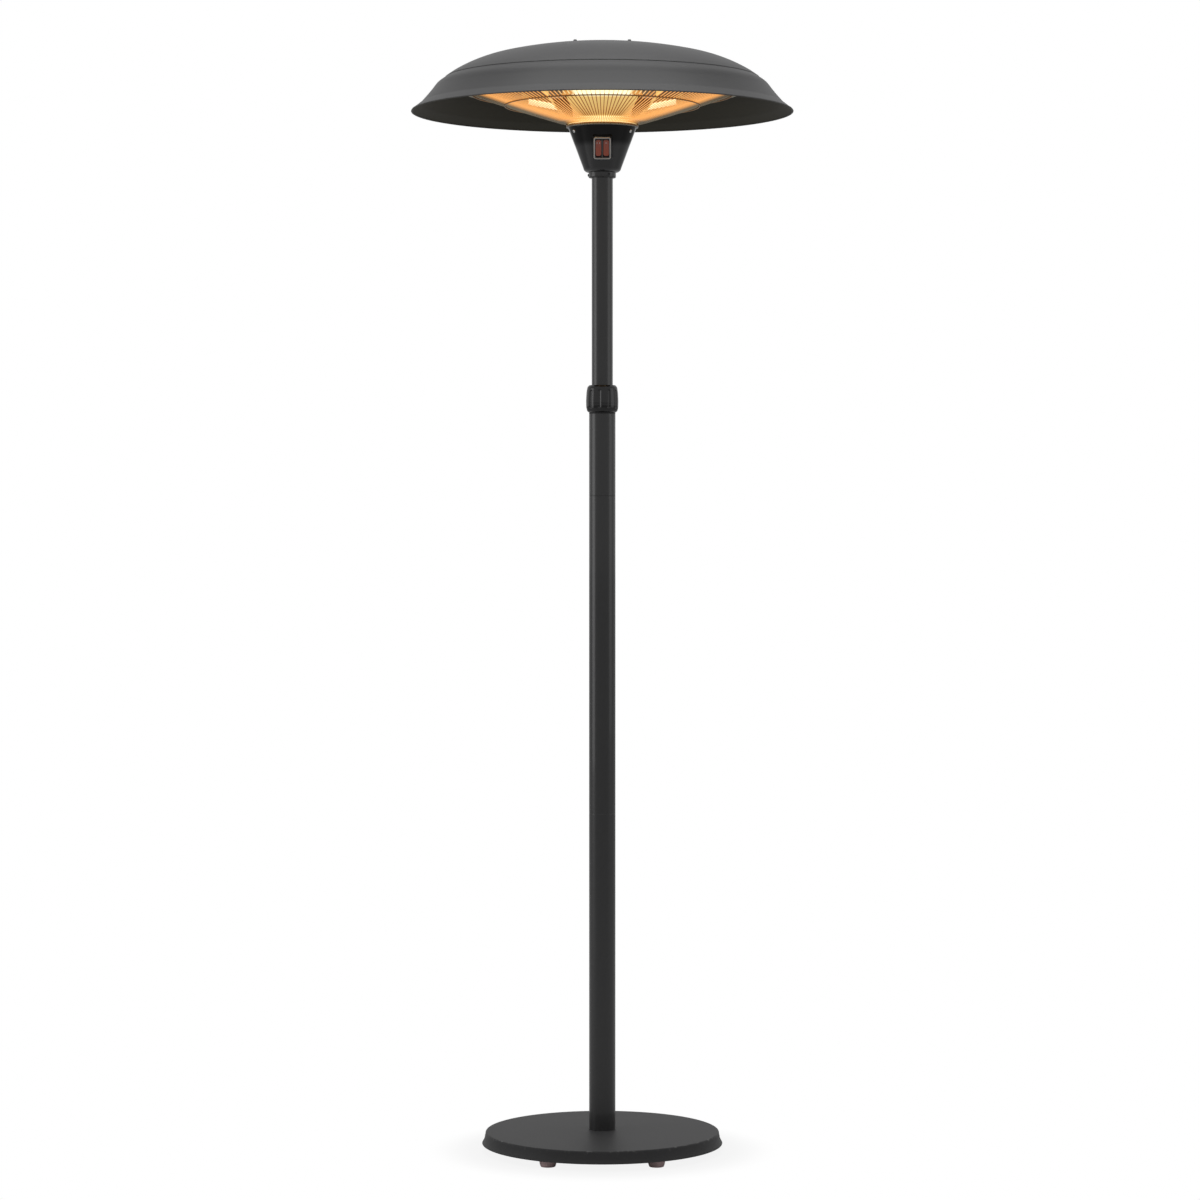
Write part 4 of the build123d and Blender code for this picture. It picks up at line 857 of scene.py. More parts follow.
class HEATER_OT_guard(bpy.types.Operator):
    """Makes the guard: radial wires with soft bends, and the rings that carry them."""

    bl_idname = "heater.guard"
    bl_label = "Guard"

    def execute(self, context):
        look = context.scene.heater_guard
        f = Finish("guard_plating_painted_glow")
        # Painted lamp light, fixed to the head: the emission glows orange on the front half of the guard,
        # with a paler painted glare on the middle columns past 190 mm and deep orange-brown on their part
        # from 100 to 184 mm, where the base colour is darker too, as painted shade; the back half has only a
        # dim warm glow.
        x, y, _ = f.axes()
        reach = (x * x + y * y).root()
        lit = 1 - y.step(-60.0, -8.0)
        middle = 1 - (abs(x) / reach).step(0.32, 0.46)
        glare = middle * reach.step(184.0, 190.0)
        backlit = (middle - glare) * reach.step(84.0, 100.0)
        hue = f.mix(backlit, f.mix(glare, (1.0, 0.42, 0.1), (1.0, 0.78, 0.36)), (0.26, 0.07, 0.01))
        metal = tuple(look.metal)
        plating = f.mix(f.noise(70.0), shade(metal, 0.8), metal)
        f.set(
            Base_Color=f.mix(backlit, plating, (0.1, 0.05, 0.02)),
            Metallic=1.0,
            Roughness=0.2 + f.noise(200.0) * 0.12,
            Emission_Color=f.mix(lit, (0.04, 0.028, 0.012), hue),
            Emission_Strength=0.9,
        )
        f.bump(f.noise(700.0, 2.0), 0.00001, 0.4)
        hub_top = Z["hub_top"]
        rim = Z["pan_rim"] - 0.05 - 2.5
        r = look.wire_radius / MM
        inner, middle_ring, outer_end = 66.6, 184.3, 263.4
        low = [
            (inner, hub_top + 3.1),
            (125.6, hub_top + 21.2),
            (middle_ring, hub_top + 40.4),
            (outer_end, rim - 0.9),
        ]
        corners = np.array(low) + np.array([0.0, 0.9])
        over = [(outer_end, hub_top + 90.0, 0.0), (inner, hub_top + 50.0, 0.0)]
        bend = fillets([(x, z, 14.0) for x, z in corners] + over, 4)
        inside = bend[(bend[:, 1] < hub_top + 49.0) | (bend[:, 0] > 200.0)]
        inside = inside[(inside[:, 0] > 70.0) & (inside[:, 0] < 262.0)]
        path = np.concatenate([corners[:1], inside, corners[-1:]])
        spokes = around(wire(path, r, 6), look.wires, 180.0 / look.wires)
        piece("guard_spokes", spokes, "head", f.material, ["guard_wires"], sharp=60)
        slope = (low[3][1] - low[2][1]) / (outer_end - middle_ring)
        high_ring = 247.0
        hoop = Finish("hoop_plating_painted_glow")
        # The three inner hoops are coloured orange-brown as painted lamp light; the outer hoop, past 258 mm,
        # keeps the plating's pale colour.
        outer = hoop.reach().step(250.0, 258.0)
        hoop.set(
            Base_Color=hoop.mix(outer, (0.42, 0.22, 0.08), (0.4, 0.37, 0.28)),
            Metallic=1.0,
            Roughness=0.2 + hoop.noise(200.0) * 0.12,
        )
        hoop.bump(hoop.noise(700.0, 2.0), 0.00001, 0.4)
        rings = [
            ring(67.1, hub_top + 1.55, 1.5),
            ring(middle_ring, low[2][1] - 1.35, 1.25),
            ring(high_ring, low[2][1] + (high_ring - middle_ring) * slope - 1.4, 1.25),
            ring(266.0, rim, 2.5, 16),
        ]
        piece("guard_hoops", rings, "head", hoop.material, ["guard_rings"], closed=True)
        return {"FINISHED"}


def on_cone(angle, drop, rise=0.0):
    """A plane on the housing's wall: its origin, and its across, up and out directions.

    The origin lies a drop down the wall from its top edge, in a direction about the mast in degrees, and
    stands a rise off the wall. Out is the wall's normal.
    """
    a = radians(angle)
    away = np.array([cos(a), sin(a), 0.0])
    upright = np.array([0.0, 0.0, 1.0])
    out = away * cos(CONE) - upright * sin(CONE)
    up = away * sin(CONE) + upright * cos(CONE)
    origin = away * HOUSING_TOP + upright * Z["hub"] - up * drop + out * rise
    return origin, np.array([-sin(a), cos(a), 0.0]), up, out


def along_wall(f, plane):
    """Height of a shaded point above a plane's origin, measured up the housing's front wall."""
    _, y, z = f.axes()
    _, origin_y, origin_z = (float(v) for v in plane[0])
    return (y - origin_y) * -sin(CONE) + (z - origin_z) * cos(CONE)


def soft_box(x, y, half_x, half_y, corner, edge):
    """1 inside a rounded rectangle and 0 outside, ramping over the edge width (signed distance)."""
    qx, qy = np.abs(x) - half_x + corner, np.abs(y) - half_y + corner
    away = np.hypot(np.maximum(qx, 0), np.maximum(qy, 0)) + np.minimum(np.maximum(qx, qy), 0) - corner
    t = np.clip(0.5 - away / edge, 0, 1)
    return t * t * (3 - 2 * t)


class HEATER_OT_housing(bpy.types.Operator):
    """Makes the cone-shaped control housing with its switch pad, the bead at its top and its screws.

    The wall is a cone whose front columns keep a constant x. Inside a rounded rectangle it moves out to
    the flat plane of the pad, and inside the smaller one of the switch it moves in to make the well.
    """

    bl_idname = "heater.housing"
    bl_label = "Control housing"

    def execute(self, context):
        color = tuple(context.scene.heater_body.moulding)
        gloss = moulded("housing_gloss", color, 0.1)
        _, _, height = gloss.axes()
        # The hood's shadow falls on the top of the cone, with a ragged lower edge. It is painted shade: the
        # top is coloured darker than the moulding, and the part below is coloured lighter, as painted light,
        # and has the coat.
        ragged = height + gloss.noise(20.0, 3.0, 0.5, (1.0, 1.0, 0.2)) * 8.0
        shaded = ragged.step(Z["hub"] - 36.0, Z["hub"] - 22.0)
        gloss.set(
            Base_Color=gloss.mix(shaded, shade(color, 2.0), shade(color, 0.6)),
            Coat_Weight=(1 - shaded) * 0.8,
            Coat_Roughness=0.05,
            Specular_IOR_Level=0.22,
        )
        low, high = Z["housing"], Z["hub"]
        tall = high - low
        rows = np.concatenate(
            [
                np.linspace(8.0, 10.0, 3, endpoint=False),
                np.linspace(10.0, 75.0, 150, endpoint=False),
                np.linspace(75.0, tall - 0.8, 8),
            ]
        )
        wall = np.stack([HOUSING_FOOT + rows * ((HOUSING_TOP - HOUSING_FOOT) / tall), rows + low], axis=-1)
        bottom = np.array([(23.7, 0.0), (26.5, 0.0), (29.6, 0.5), (32.2, 1.9), (34.2, 3.9), (35.4, 6.0)])
        bottom[:, 1] += low
        top = np.array([(64.3, high - 0.3), (63.9, high), (61.0, high)])
        deep = np.stack([wall[::-1, 0] - 2.7, wall[::-1, 1]], axis=-1)
        loop = np.concatenate([bottom, wall, top, deep, np.array([(30.5, low + 2.6), (23.7, low + 2.6)])])
        half_front = 22.0
        x_fine = np.linspace(-half_front, half_front, 111)
        share = np.linspace(0, 1, 61)[1:-1]
        r, z = loop[:, 0:1], loop[:, 1:2]
        edge = np.arcsin(np.clip(half_front / np.maximum(r, 22.5), -1, 1))
        front_angle = np.arcsin(np.clip(x_fine / np.maximum(r, 22.5), -1, 1))
        rest_angle = edge + share * (2 * pi - 2 * edge)
        theta = np.concatenate([front_angle, rest_angle], axis=1)
        grid = np.stack([r * np.sin(theta), -r * np.cos(theta), z + 0 * theta], axis=-1)
        origin, across, up, out = on_cone(FRONT, SWITCH_DROP, PAD_RISE)
        offset = grid - origin
        ax, ay, rise = offset @ across, offset @ up, offset @ out
        front = grid[..., 1] < 0
        outer = np.zeros(len(loop), dtype=bool)
        outer[len(bottom) : len(bottom) + len(wall)] = True
        pad = soft_box(ax, ay, 19.3, 24.5, 5.0, 1.2) * front
        skin = pad * outer[:, None]
        grid = grid - (skin * rise)[..., None] * out
        well_depth = 10.5
        well = soft_box(ax, ay, 14.9, 19.1, 1.0, 0.4) * front * (outer[:, None] | (rise > -16.0))
        grid = grid - (well * well_depth)[..., None] * out
        cone = gloss.material
        piece("housing_cone", [grid], "head", cone, ["control_housing"], closed=True, sharp=40)
        # The bead's light grey stands in for the highlight along its top edge: painted highlight.
        plated = coated("hub_edge_painted_highlight", (0.3, 0.3, 0.27), 0.22, 900.0, 0.00001).material
        hub, top_z = Z["hub"], Z["hub_top"]
        bead = fillets([(7.2, hub, 0.1), (68.0, hub, 0.9), (68.0, top_z, 0.9), (7.2, top_z, 0.1)], 6)
        foot = hub - 16.0
        skirt = fillets([(54.6, foot, 0.1), (55.7, foot, 0.1), (61.6, hub, 0.1), (60.4, hub, 0.1)], 3)
        plate = [revolve(bead, 144), revolve(skirt, 96)]
        piece("hub_plate_bead", plate, "head", plated, ["hub_plate"], closed=True)
        # The screws' light colour stands in for the glints on their heads: painted highlight.
        dark = bright("housing_screw_painted_glint", (0.75, 0.75, 0.74), 0.2).material
        origin, *directions = on_cone(0.0, SCREW_DROP)
        head = to_plane(screw_head(3.4, 1.8, 2.0), origin + np.array([0.05, 0.0, 0.0]), *directions)
        shank = revolve(np.array([(0, -5.4), (2.0, -5.4), (2.0, 0.1), (0, 0.1)]), 24)
        shank = to_plane(shank, origin, *directions)
        screws = around(head, 3, FRONT + 60) + around(shank, 3, FRONT + 60)
        piece("housing_button_screws", screws, "head", dark, ["housing_screws"], sharp=35)
        return {"FINISHED"}


class HEATER_OT_switch(bpy.types.Operator):
    """Makes the switch's rounded frame and the two dished rockers with their marks."""

    bl_idname = "heater.switch"
    bl_label = "Switch"

    def execute(self, context):
        plane = on_cone(FRONT, SWITCH_DROP, PAD_RISE)
        grey = Finish("frame_rim")
        x, _, _ = grey.axes()
        # The light grey band along the frame's lip is painted highlight; the rest of the frame is near black.
        lip = abs(x).step(13.6, 14.1).most(abs(along_wall(grey, plane)).step(18.6, 19.1))
        grey.set(
            Base_Color=grey.mix(lip + grey.noise(40.0) * 0.1, (0.05, 0.05, 0.048), (0.7, 0.7, 0.69)),
            Roughness=0.16 + grey.noise(300.0) * 0.12,
            Coat_Weight=0.4,
        )
        grey.bump(grey.noise(600.0, 2.0), 0.00001, 0.4)
        n = 96
        steps = [
            (32.3, 42.2, 4.0, 0.05), (32.3, 42.2, 4.0, 1.6), (31.7, 41.6, 3.8, 2.5), (30.6, 40.5, 3.5, 3.0),
            (29.4, 39.3, 3.1, 2.95), (28.4, 38.2, 2.7, 2.4), (27.4, 36.6, 2.2, 2.2), (26.4, 34.6, 1.6, 2.0),
            (26.0, 34.0, 1.4, 1.5), (26.0, 34.0, 1.4, 0.05),
        ]
        rim = to_plane(stack([oblong(w, h, c, n) for w, h, c, _ in steps], [h for *_, h in steps]), *plane)
        gloss = grey.material
        piece("switch_frame_rim", [rim], "head", gloss, ["switch_frame"], closed=True, sharp=50)
        sections = ((0, 0), (3.0, 34.0), (3.0, 34.0), (2.2, 33.4), (0, 33.0))
        outlines = [oblong(w, h, 0.7, 32) for w, h in sections]
        bar = to_plane(stack(outlines, [0.05, 0.05, 1.2, 1.6, 1.6]), *plane)
        piece("switch_middle_bar", [bar], "head", gloss, (), sharp=40)
        color = tuple(context.scene.heater_body.rocker)
        for name, middle, marks, wide, tall in (
            ("rocker_left", -7.3, (-2.3, 2.3), 0.42, 1.7),
            ("rocker_right", 7.3, (0.0,), 1.9, 0.45),
        ):
            f = Finish(name + "_plastic")
            x, _, _ = f.axes()
            level_with_mark = 1 - abs(along_wall(f, plane) - 9.6).step(tall - 0.1, tall + 0.1)
            ink = None
            for off in marks:
                stroke = 1 - abs(x - (middle + off)).step(wide - 0.1, wide + 0.1)
                ink = stroke if ink is None else ink.most(stroke)
            plastic = f.mix(f.noise(30.0), shade(color, 0.85), shade(color, 1.15))
            f.set(
                Base_Color=f.mix(ink * level_with_mark, plastic, (0.8, 0.78, 0.75)),
                Roughness=0.2 + f.noise(350.0) * 0.1,
                Coat_Weight=0.3,
            )
            f.bump(f.noise(500.0, 2.0), 0.00001, 0.4)
            shape = oblong(10.4, 30.0, 3.6, 64)
            rings = []
            for k in np.linspace(0.0, 1.0, 14):
                p = shape * k
                dish = 2.9 + 1.8 * (p[:, 1] / 15.0) ** 2 - 0.5 * (1 - (p[:, 0] / 5.2) ** 2)
                rings.append(np.concatenate([p, (dish - 0.55 * k**10)[:, None]], axis=-1))
            sides = [(1.0, 1.8), (1.0, 0.4), (0.99, -0.2), (0.7, -3.6), (0.0, -4.0)]
            sides = [np.concatenate([shape * k, np.full((64, 1), h)], axis=-1) for k, h in sides]
            key = np.stack(rings + sides)
            tilt = radians(-7.0)
            x, y, z = key[..., 0], key[..., 1], key[..., 2]
            key = np.stack([x, y * cos(tilt) - z * sin(tilt), y * sin(tilt) + z * cos(tilt)], axis=-1)
            key = key + np.array([middle, 0.0, -2.5])
            piece(name + "_key", [to_plane(key, *plane)], name, f.material, [name], sharp=50)
        return {"FINISHED"}


class HEATER_OT_gland(bpy.types.Operator):
    """Makes the cable gland at the back: flanged body and a nut with grip ribs round it."""

    bl_idname = "heater.gland"
    bl_label = "Cable gland"

    def execute(self, context):
        black = grained("gland_nylon", (0.018, 0.018, 0.019), 0.42, 1200.0, 0.00002).material
        plane = on_cone(FRONT + 180.0, GLAND_DROP, PAD_RISE)
        n = 96
        hexagon, circle = polygon(20.0, 6, n), polygon(2.0, 720, n)
        flats = [hexagon * 0.97, hexagon, hexagon, hexagon * 0.95]
        body = stack(
            [circle * 5.5] + flats + [circle * 8.0, circle * 8.0, circle * 5.5],
            [0.05, 0.05, 0.6, 4.6, 5.0, 5.0, 11.0, 11.0],
        )
        a = np.linspace(0, 2 * pi, n, endpoint=False)
        ribs = 1 + 0.035 * (np.cos(a * 16) > 0)
        grip = circle * ribs[:, None]
        gripped = [circle * 8.2, grip * 8.9, grip * 9.2, grip * 9.2]
        domed = [circle * r for r in (8.9, 8.3, 7.3, 5.6, 4.4, 4.2, 4.2, 8.2)]
        nut = stack(gripped + domed, [5.1, 5.1, 5.6, 11.8, 12.4, 14.6, 16.5, 17.7, 18.0, 17.6, 11.8, 11.8])
        for name, node, shape in (("gland_body", "cable_gland", body), ("gland_dome_nut", "gland_nut", nut)):
            placed = to_plane(shape, *plane)
            piece(name, [placed], "head", black, [node], closed=True, sharp=30)
        return {"FINISHED"}


class HEATER_OT_mast(bpy.types.Operator):
    """Makes the mast: lower tube in three lengths, the sliding upper tube, and the neck ring and screws."""

    bl_idname = "heater.mast"
    bl_label = "Mast"

    def execute(self, context):
        color = tuple(context.scene.heater_body.mast)
        paint = coated("mast_coat", color, 0.3, 1100.0, 0.000008, 0.3).material
        for name, node, body, radius, start, end in (
            ("mast_low", "mast_tube_low", "base", LOWER_TUBE, Z["mast"], Z["low_joint"]),
            ("mast_middle", "mast_tube_middle", "base", LOWER_TUBE, Z["low_joint"], Z["high_joint"]),
            ("mast_top", "mast_tube_top", "base", LOWER_TUBE, Z["high_joint"], Z["clamp"]),
            ("upper_mast", "upper_tube", "head", UPPER_TUBE, level("upper_tube", 0), level("upper_tube", 1)),
        ):
            bore = radius - TUBE_WALL
            edge = [(bore, start, 0.2), (radius, start, 0.5), (radius, end, 0.5), (bore, end, 0.2)]
            tube = revolve(fillets(edge, 5), 96)
            piece(name, [tube], body, paint, [node], closed=True)
        neck, housing = Z["neck"], Z["housing"]
        top = level("neck_clamp", 1)
        outside = [(20.1, neck, 0.2), (NECK, neck, 2.2), (NECK, housing, 0.4), (23.6, housing, 0.2)]
        lip = [(23.6, top, 0.4), (15.8, top, 0.3), (15.8, top - 3.0, 0.3), (20.1, top - 3.0, 0.2)]
        collar = revolve(fillets(outside + lip, 6), 96)
        satin = coated("neck_coat", shade(color, 0.8), 0.3, 1100.0, 0.000014, 0.3).material
        piece("neck_ring", [collar], "head", satin, ["neck_clamp"], closed=True)
        dark = bright("neck_screw_metal", (0.07, 0.07, 0.075), 0.3).material
        screw_z = neck + 5.1
        facing_x = ((0.0, 1.0, 0.0), (0.0, 0.0, 1.0), (1.0, 0.0, 0.0))
        head = to_plane(screw_head(2.6, 1.6, 1.6, 30), (NECK + 0.1, 0.0, screw_z), *facing_x)
        shank = revolve(np.array([(0, 20.1), (2.0, 20.1), (2.0, 26.1), (0, 26.1)]), 20)
        shank = to_plane(shank, (0.0, 0.0, screw_z), *facing_x)
        screws = around(head, 3, FRONT + 30) + around(shank, 3, FRONT + 30)
        piece("neck_button_screws", screws, "head", dark, ["neck_screws"], sharp=35)
        return {"FINISHED"}


class HEATER_OT_collar(bpy.types.Operator):
    """Makes the clamp collar: a barrel with tongue-shaped grooves pressed into it.

    Radius = barrel(z) - depth (1 - (distance from the groove's middle line / half width) squared), where
    the middle line is a segment, so each groove has round ends.
    """

    bl_idname = "heater.collar"
    bl_label = "Clamp collar"

    def execute(self, context):
        look = context.scene.heater_body
        gloss = moulded("collar_gloss", tuple(look.moulding), 0.12).material
        low, high = Z["nut"], Z["nut_top"]
        rising = [(25.6, 0.4), (28.0, 2.2), (29.6, 6.5), (30.5, 17.0)]
        closing = [(30.2, 30.0), (29.3, 41.0), (27.6, 48.5)]
        outer = smooth_path([(r, low + h) for r, h in rising + closing] + [(25.3, high - 0.5)], 110)
        lip = arc((24.6, high - 1.0), 1.0, 50, 90, 5)
        mouth = [(20.6, high), (20.5, high - 0.4), (20.5, high - 5.0), (24.2, high - 8.0)]
        thread_wall = [(24.2, low + 24.5), (23.0, low + 24.5), (23.0, low + 0.4), (23.3, low)]
        inner = np.array(mouth + thread_wall)
        foot = arc((24.9, low + 0.7), 0.7, -90, -30, 4)
        loop = np.concatenate([outer, lip, inner, foot])
        a = np.linspace(0, 2 * pi, 420, endpoint=False)
        step = 2 * pi / look.flutes
        phase = radians(FRONT + 25.0)
        side = (a - phase + step / 2) % step - step / 2
        r, z = loop[:, 0:1], loop[:, 1:2]
        past = np.maximum(np.abs(z - low - 25.0) - 14.6, 0)
        near = np.hypot(side * 30.0, past) / 3.6
        dip = 1.75 * np.clip(1 - near**2, 0, 1) ** 1.15
        face = np.zeros((len(loop), 1))
        face[: len(outer)] = 1.0
        depth = r - dip * face
        grid = np.stack([depth * np.cos(a), depth * np.sin(a), z + 0 * a], axis=-1)
        piece("collar_fluted", [grid], "collar", gloss, ["collar_nut"], closed=True, sharp=28)
        sleeve = grained("clamp_nylon", (0.016, 0.016, 0.017), 0.4, 1200.0, 0.00002).material
        clamp, stem = Z["clamp"], level("clamp_sleeve", 1)
        thread = np.linspace(clamp + 2.6, stem - 0.6, 61)
        pitch = 2.5
        wave = 22.62 + 0.26 * np.cos((thread - clamp) * 2 * pi / pitch)
        outside = np.stack([wave, thread], axis=-1)
        foot = [(20.06, -30.0), (23.2, -30.0), (23.7, -29.4), (23.7, 0.0)]
        flange = [(24.9, 0.0), (25.0, 0.3), (25.0, 2.2), (24.7, 2.5)]
        lower = [(r, clamp + h) for r, h in foot + flange]
        body = revolve(np.concatenate([lower, outside, [(22.3, stem), (20.06, stem)]]), 96)
        piece("clamp_threaded_sleeve", [body], "base", sleeve, ["clamp_sleeve"], closed=True)
        return {"FINISHED"}


class HEATER_OT_base(bpy.types.Operator):
    """Makes the base: the spun cover with its crisp edge and flare, and the rubber feet."""

    bl_idname = "heater.base"
    bl_label = "Base"

    def execute(self, context):
        color = tuple(context.scene.heater_body.base)
        f = Finish("base_coat")
        reach = f.reach()
        speck = f.noise(520.0, 4.0, 0.7).step(0.5, 0.8)
        wear = (1 - abs(reach - 220.5).step(0.6, 2.6)) * f.noise(90.0, 5.0).step(0.52, 0.7)
        tone = f.mix(f.noise(7.0) * 0.6 + speck * 0.4, shade(color, 0.82), shade(color, 1.16))
        f.set(
            Base_Color=f.mix(wear * 0.5, tone, (0.3, 0.3, 0.3)),
            Roughness=0.5 + speck * 0.12,
            Specular_IOR_Level=0.16,
        )
        f.bump(f.noise(850.0, 2.0, 0.4) + reach.sine() * 0.06, 0.000025, 0.5)
        low, high = Z["base"], Z["mast"]
        flat = [(6.3, 0.0), (25.0, 0.0), (45.0, 0.0)]
        crown = [(90.0, 0.5), (150.0, 1.19), (205.0, 1.81), (217.6, 1.97)]
        outer = [(r, high - drop) for r, drop in flat + crown]
        corner = [(210.0, high - 1.88, 0.0), (221.9, high - 2.05, 3.2), (224.4, low + 9.0, 0.0)]
        edge = fillets(corner, 8)[8:16]
        flare = [(223.5, 14.0), (224.3, 8.6), (226.0, 5.2), (227.8, 2.0), (228.7, 0.35)]
        wall = [(222.7, high - 8.0)] + [(r, low + h) for r, h in flare]
        rim = arc((228.25, low + 0.45), 0.45, -10, -170, 7)
        under_crown = [(221.0, 6.5), (217.0, 3.6), (45.0, 1.5), (6.3, 1.5)]
        inner = [(226.6, low + 2.0), (223.0, low + 8.2)] + [(r, high - drop) for r, drop in under_crown]
        cover = revolve(np.concatenate([outer, edge, wall, rim, inner]), 240)
        coat = f.material
        piece("base_cover_spun", [cover], "base", coat, ["base_cover"], closed=True, sharp=38)
        # The feet are coloured far paler than their rubber, to stand in for light that reaches them under the
        # base: painted light.
        rubber = grained("foot_rubber_painted_light", (0.75, 0.55, 0.55), 0.55, 1500.0, 0.00003).material
        top = level("feet", 1)
        recess = [(2.2, 6.0, 0.2), (6.5, 6.0, 0.4), (6.5, 0.0, 0.5)]
        side = [(13.2, 0.0, 0.8), (14.2, 1.4, 0.4), (14.5, 3.6, 0.4), (15.1, 4.1, 0.4)]
        foot = fillets(recess + side + [(17.0, top, 0.4), (2.2, top, 0.2)], 5)
        foot_reach = 201.4
        placed = revolve(foot, 60) + np.array([foot_reach, 0.0, 0.0])
        feet = around(placed, 6, FRONT + 30)
        piece("base_feet_ribbed", feet, "base", rubber, ["feet"], closed=True)
        # A thin black ring round the mast's foot stands in for the shadow line where the tube meets the base:
        # painted shadow.
        mast_foot_shadow_outline = fillets([(25.05, high, 0.05), (26.2, high, 0.3), (25.05, high + 1.1, 0.3)], 4)
        foot_shadow_finish = grained("foot_shadow_black", (0.01, 0.01, 0.01), 0.5).material
        piece("mast_foot_shadow_ring", [revolve(mast_foot_shadow_outline, 96)], "base", foot_shadow_finish, (), closed=True)
        return {"FINISHED"}


class HEATER_OT_plain_nodes(bpy.types.Operator):
    """Gives every CAD node that keeps its own shape a finish for its material."""

    bl_idname = "heater.plain_nodes"
    bl_label = "Hidden pieces"

    def execute(self, context):
        # Colours of the painted lamp glow in the emission of the polished and mirror aluminium
        near, far = (1.0, 0.8, 0.34), (0.8, 0.34, 0.06)
        finishes = {
            "foot_rubber": grained("rubber", (0.14, 0.08, 0.08), 0.6).material,
            "zinc_steel": bright("zinc_steel_sheet", (0.58, 0.59, 0.61), 0.3, (1.0, 1.0, 12.0)).material,
            "black_paint": coated("black_coat", (0.02, 0.02, 0.02), 0.35).material,
            "base_paint": coated("base_coat_plain", (0.1, 0.1, 0.1), 0.4).material,
            "mast_paint": coated("mast_coat_plain", (0.022, 0.022, 0.023), 0.28).material,
            "weight_iron": grained("cast_weight", (0.06, 0.06, 0.062), 0.7, 300.0, 0.0003).material,
            "black_plastic": grained("black_moulding", (0.012, 0.012, 0.013), 0.45, 1300.0, 0.00002).material,
            "nylon": grained("natural_nylon", (0.1, 0.097, 0.09), 0.4, 900.0, 0.00001).material,
            "gloss_black": moulded("gloss_moulding", (0.01, 0.01, 0.011)).material,
            "black_screw": bright("black_screw_plain", (0.08, 0.08, 0.085), 0.3).material,
            "frame_grey": moulded("grey_moulding", (0.16, 0.16, 0.16)).material,
            "rocker_red": moulded("red_moulding", (0.34, 0.05, 0.035)).material,
            "terminal_white": grained("white_nylon", (0.7, 0.7, 0.66), 0.4, 800.0, 0.00001).material,
            "polished_aluminium": lit_metal("lit_aluminium", (0.86, 0.84, 0.8), near, far, 0.5, 0.2),
            "mirror_aluminium": lit_metal("lit_mirror", (0.9, 0.88, 0.84), near, far, 0.5, 0.15),
            "nut_chrome": bright("nut_chrome_plain", (0.55, 0.55, 0.55), 0.12).material,
            "quartz": moulded("quartz_plain", (0.8, 0.78, 0.7), 0.05).material,
            "filament_metal": bright("tungsten", (0.8, 0.6, 0.35), 0.4).material,
            "ceramic": grained("ceramic_plain", (0.75, 0.7, 0.6), 0.6, 900.0, 0.00002).material,
            "lead_sleeve": grained("woven_sleeving", (0.6, 0.5, 0.36), 0.8, 2200.0, 0.0001).material,
            "guard_steel": bright("guard_plain", (0.7, 0.68, 0.64), 0.2).material,
            "hood_paint": hood_finish("hood_plain", (0.155, 0.155, 0.157), False),
        }
        slots = {s["node"]: s["material_slot"] for s in frame["record"]["subparts"]}
        for node, made in frame["nodes"].items():
            made.data.materials.clear()
            made.data.materials.append(finishes[slots[node]])
        return {"FINISHED"}


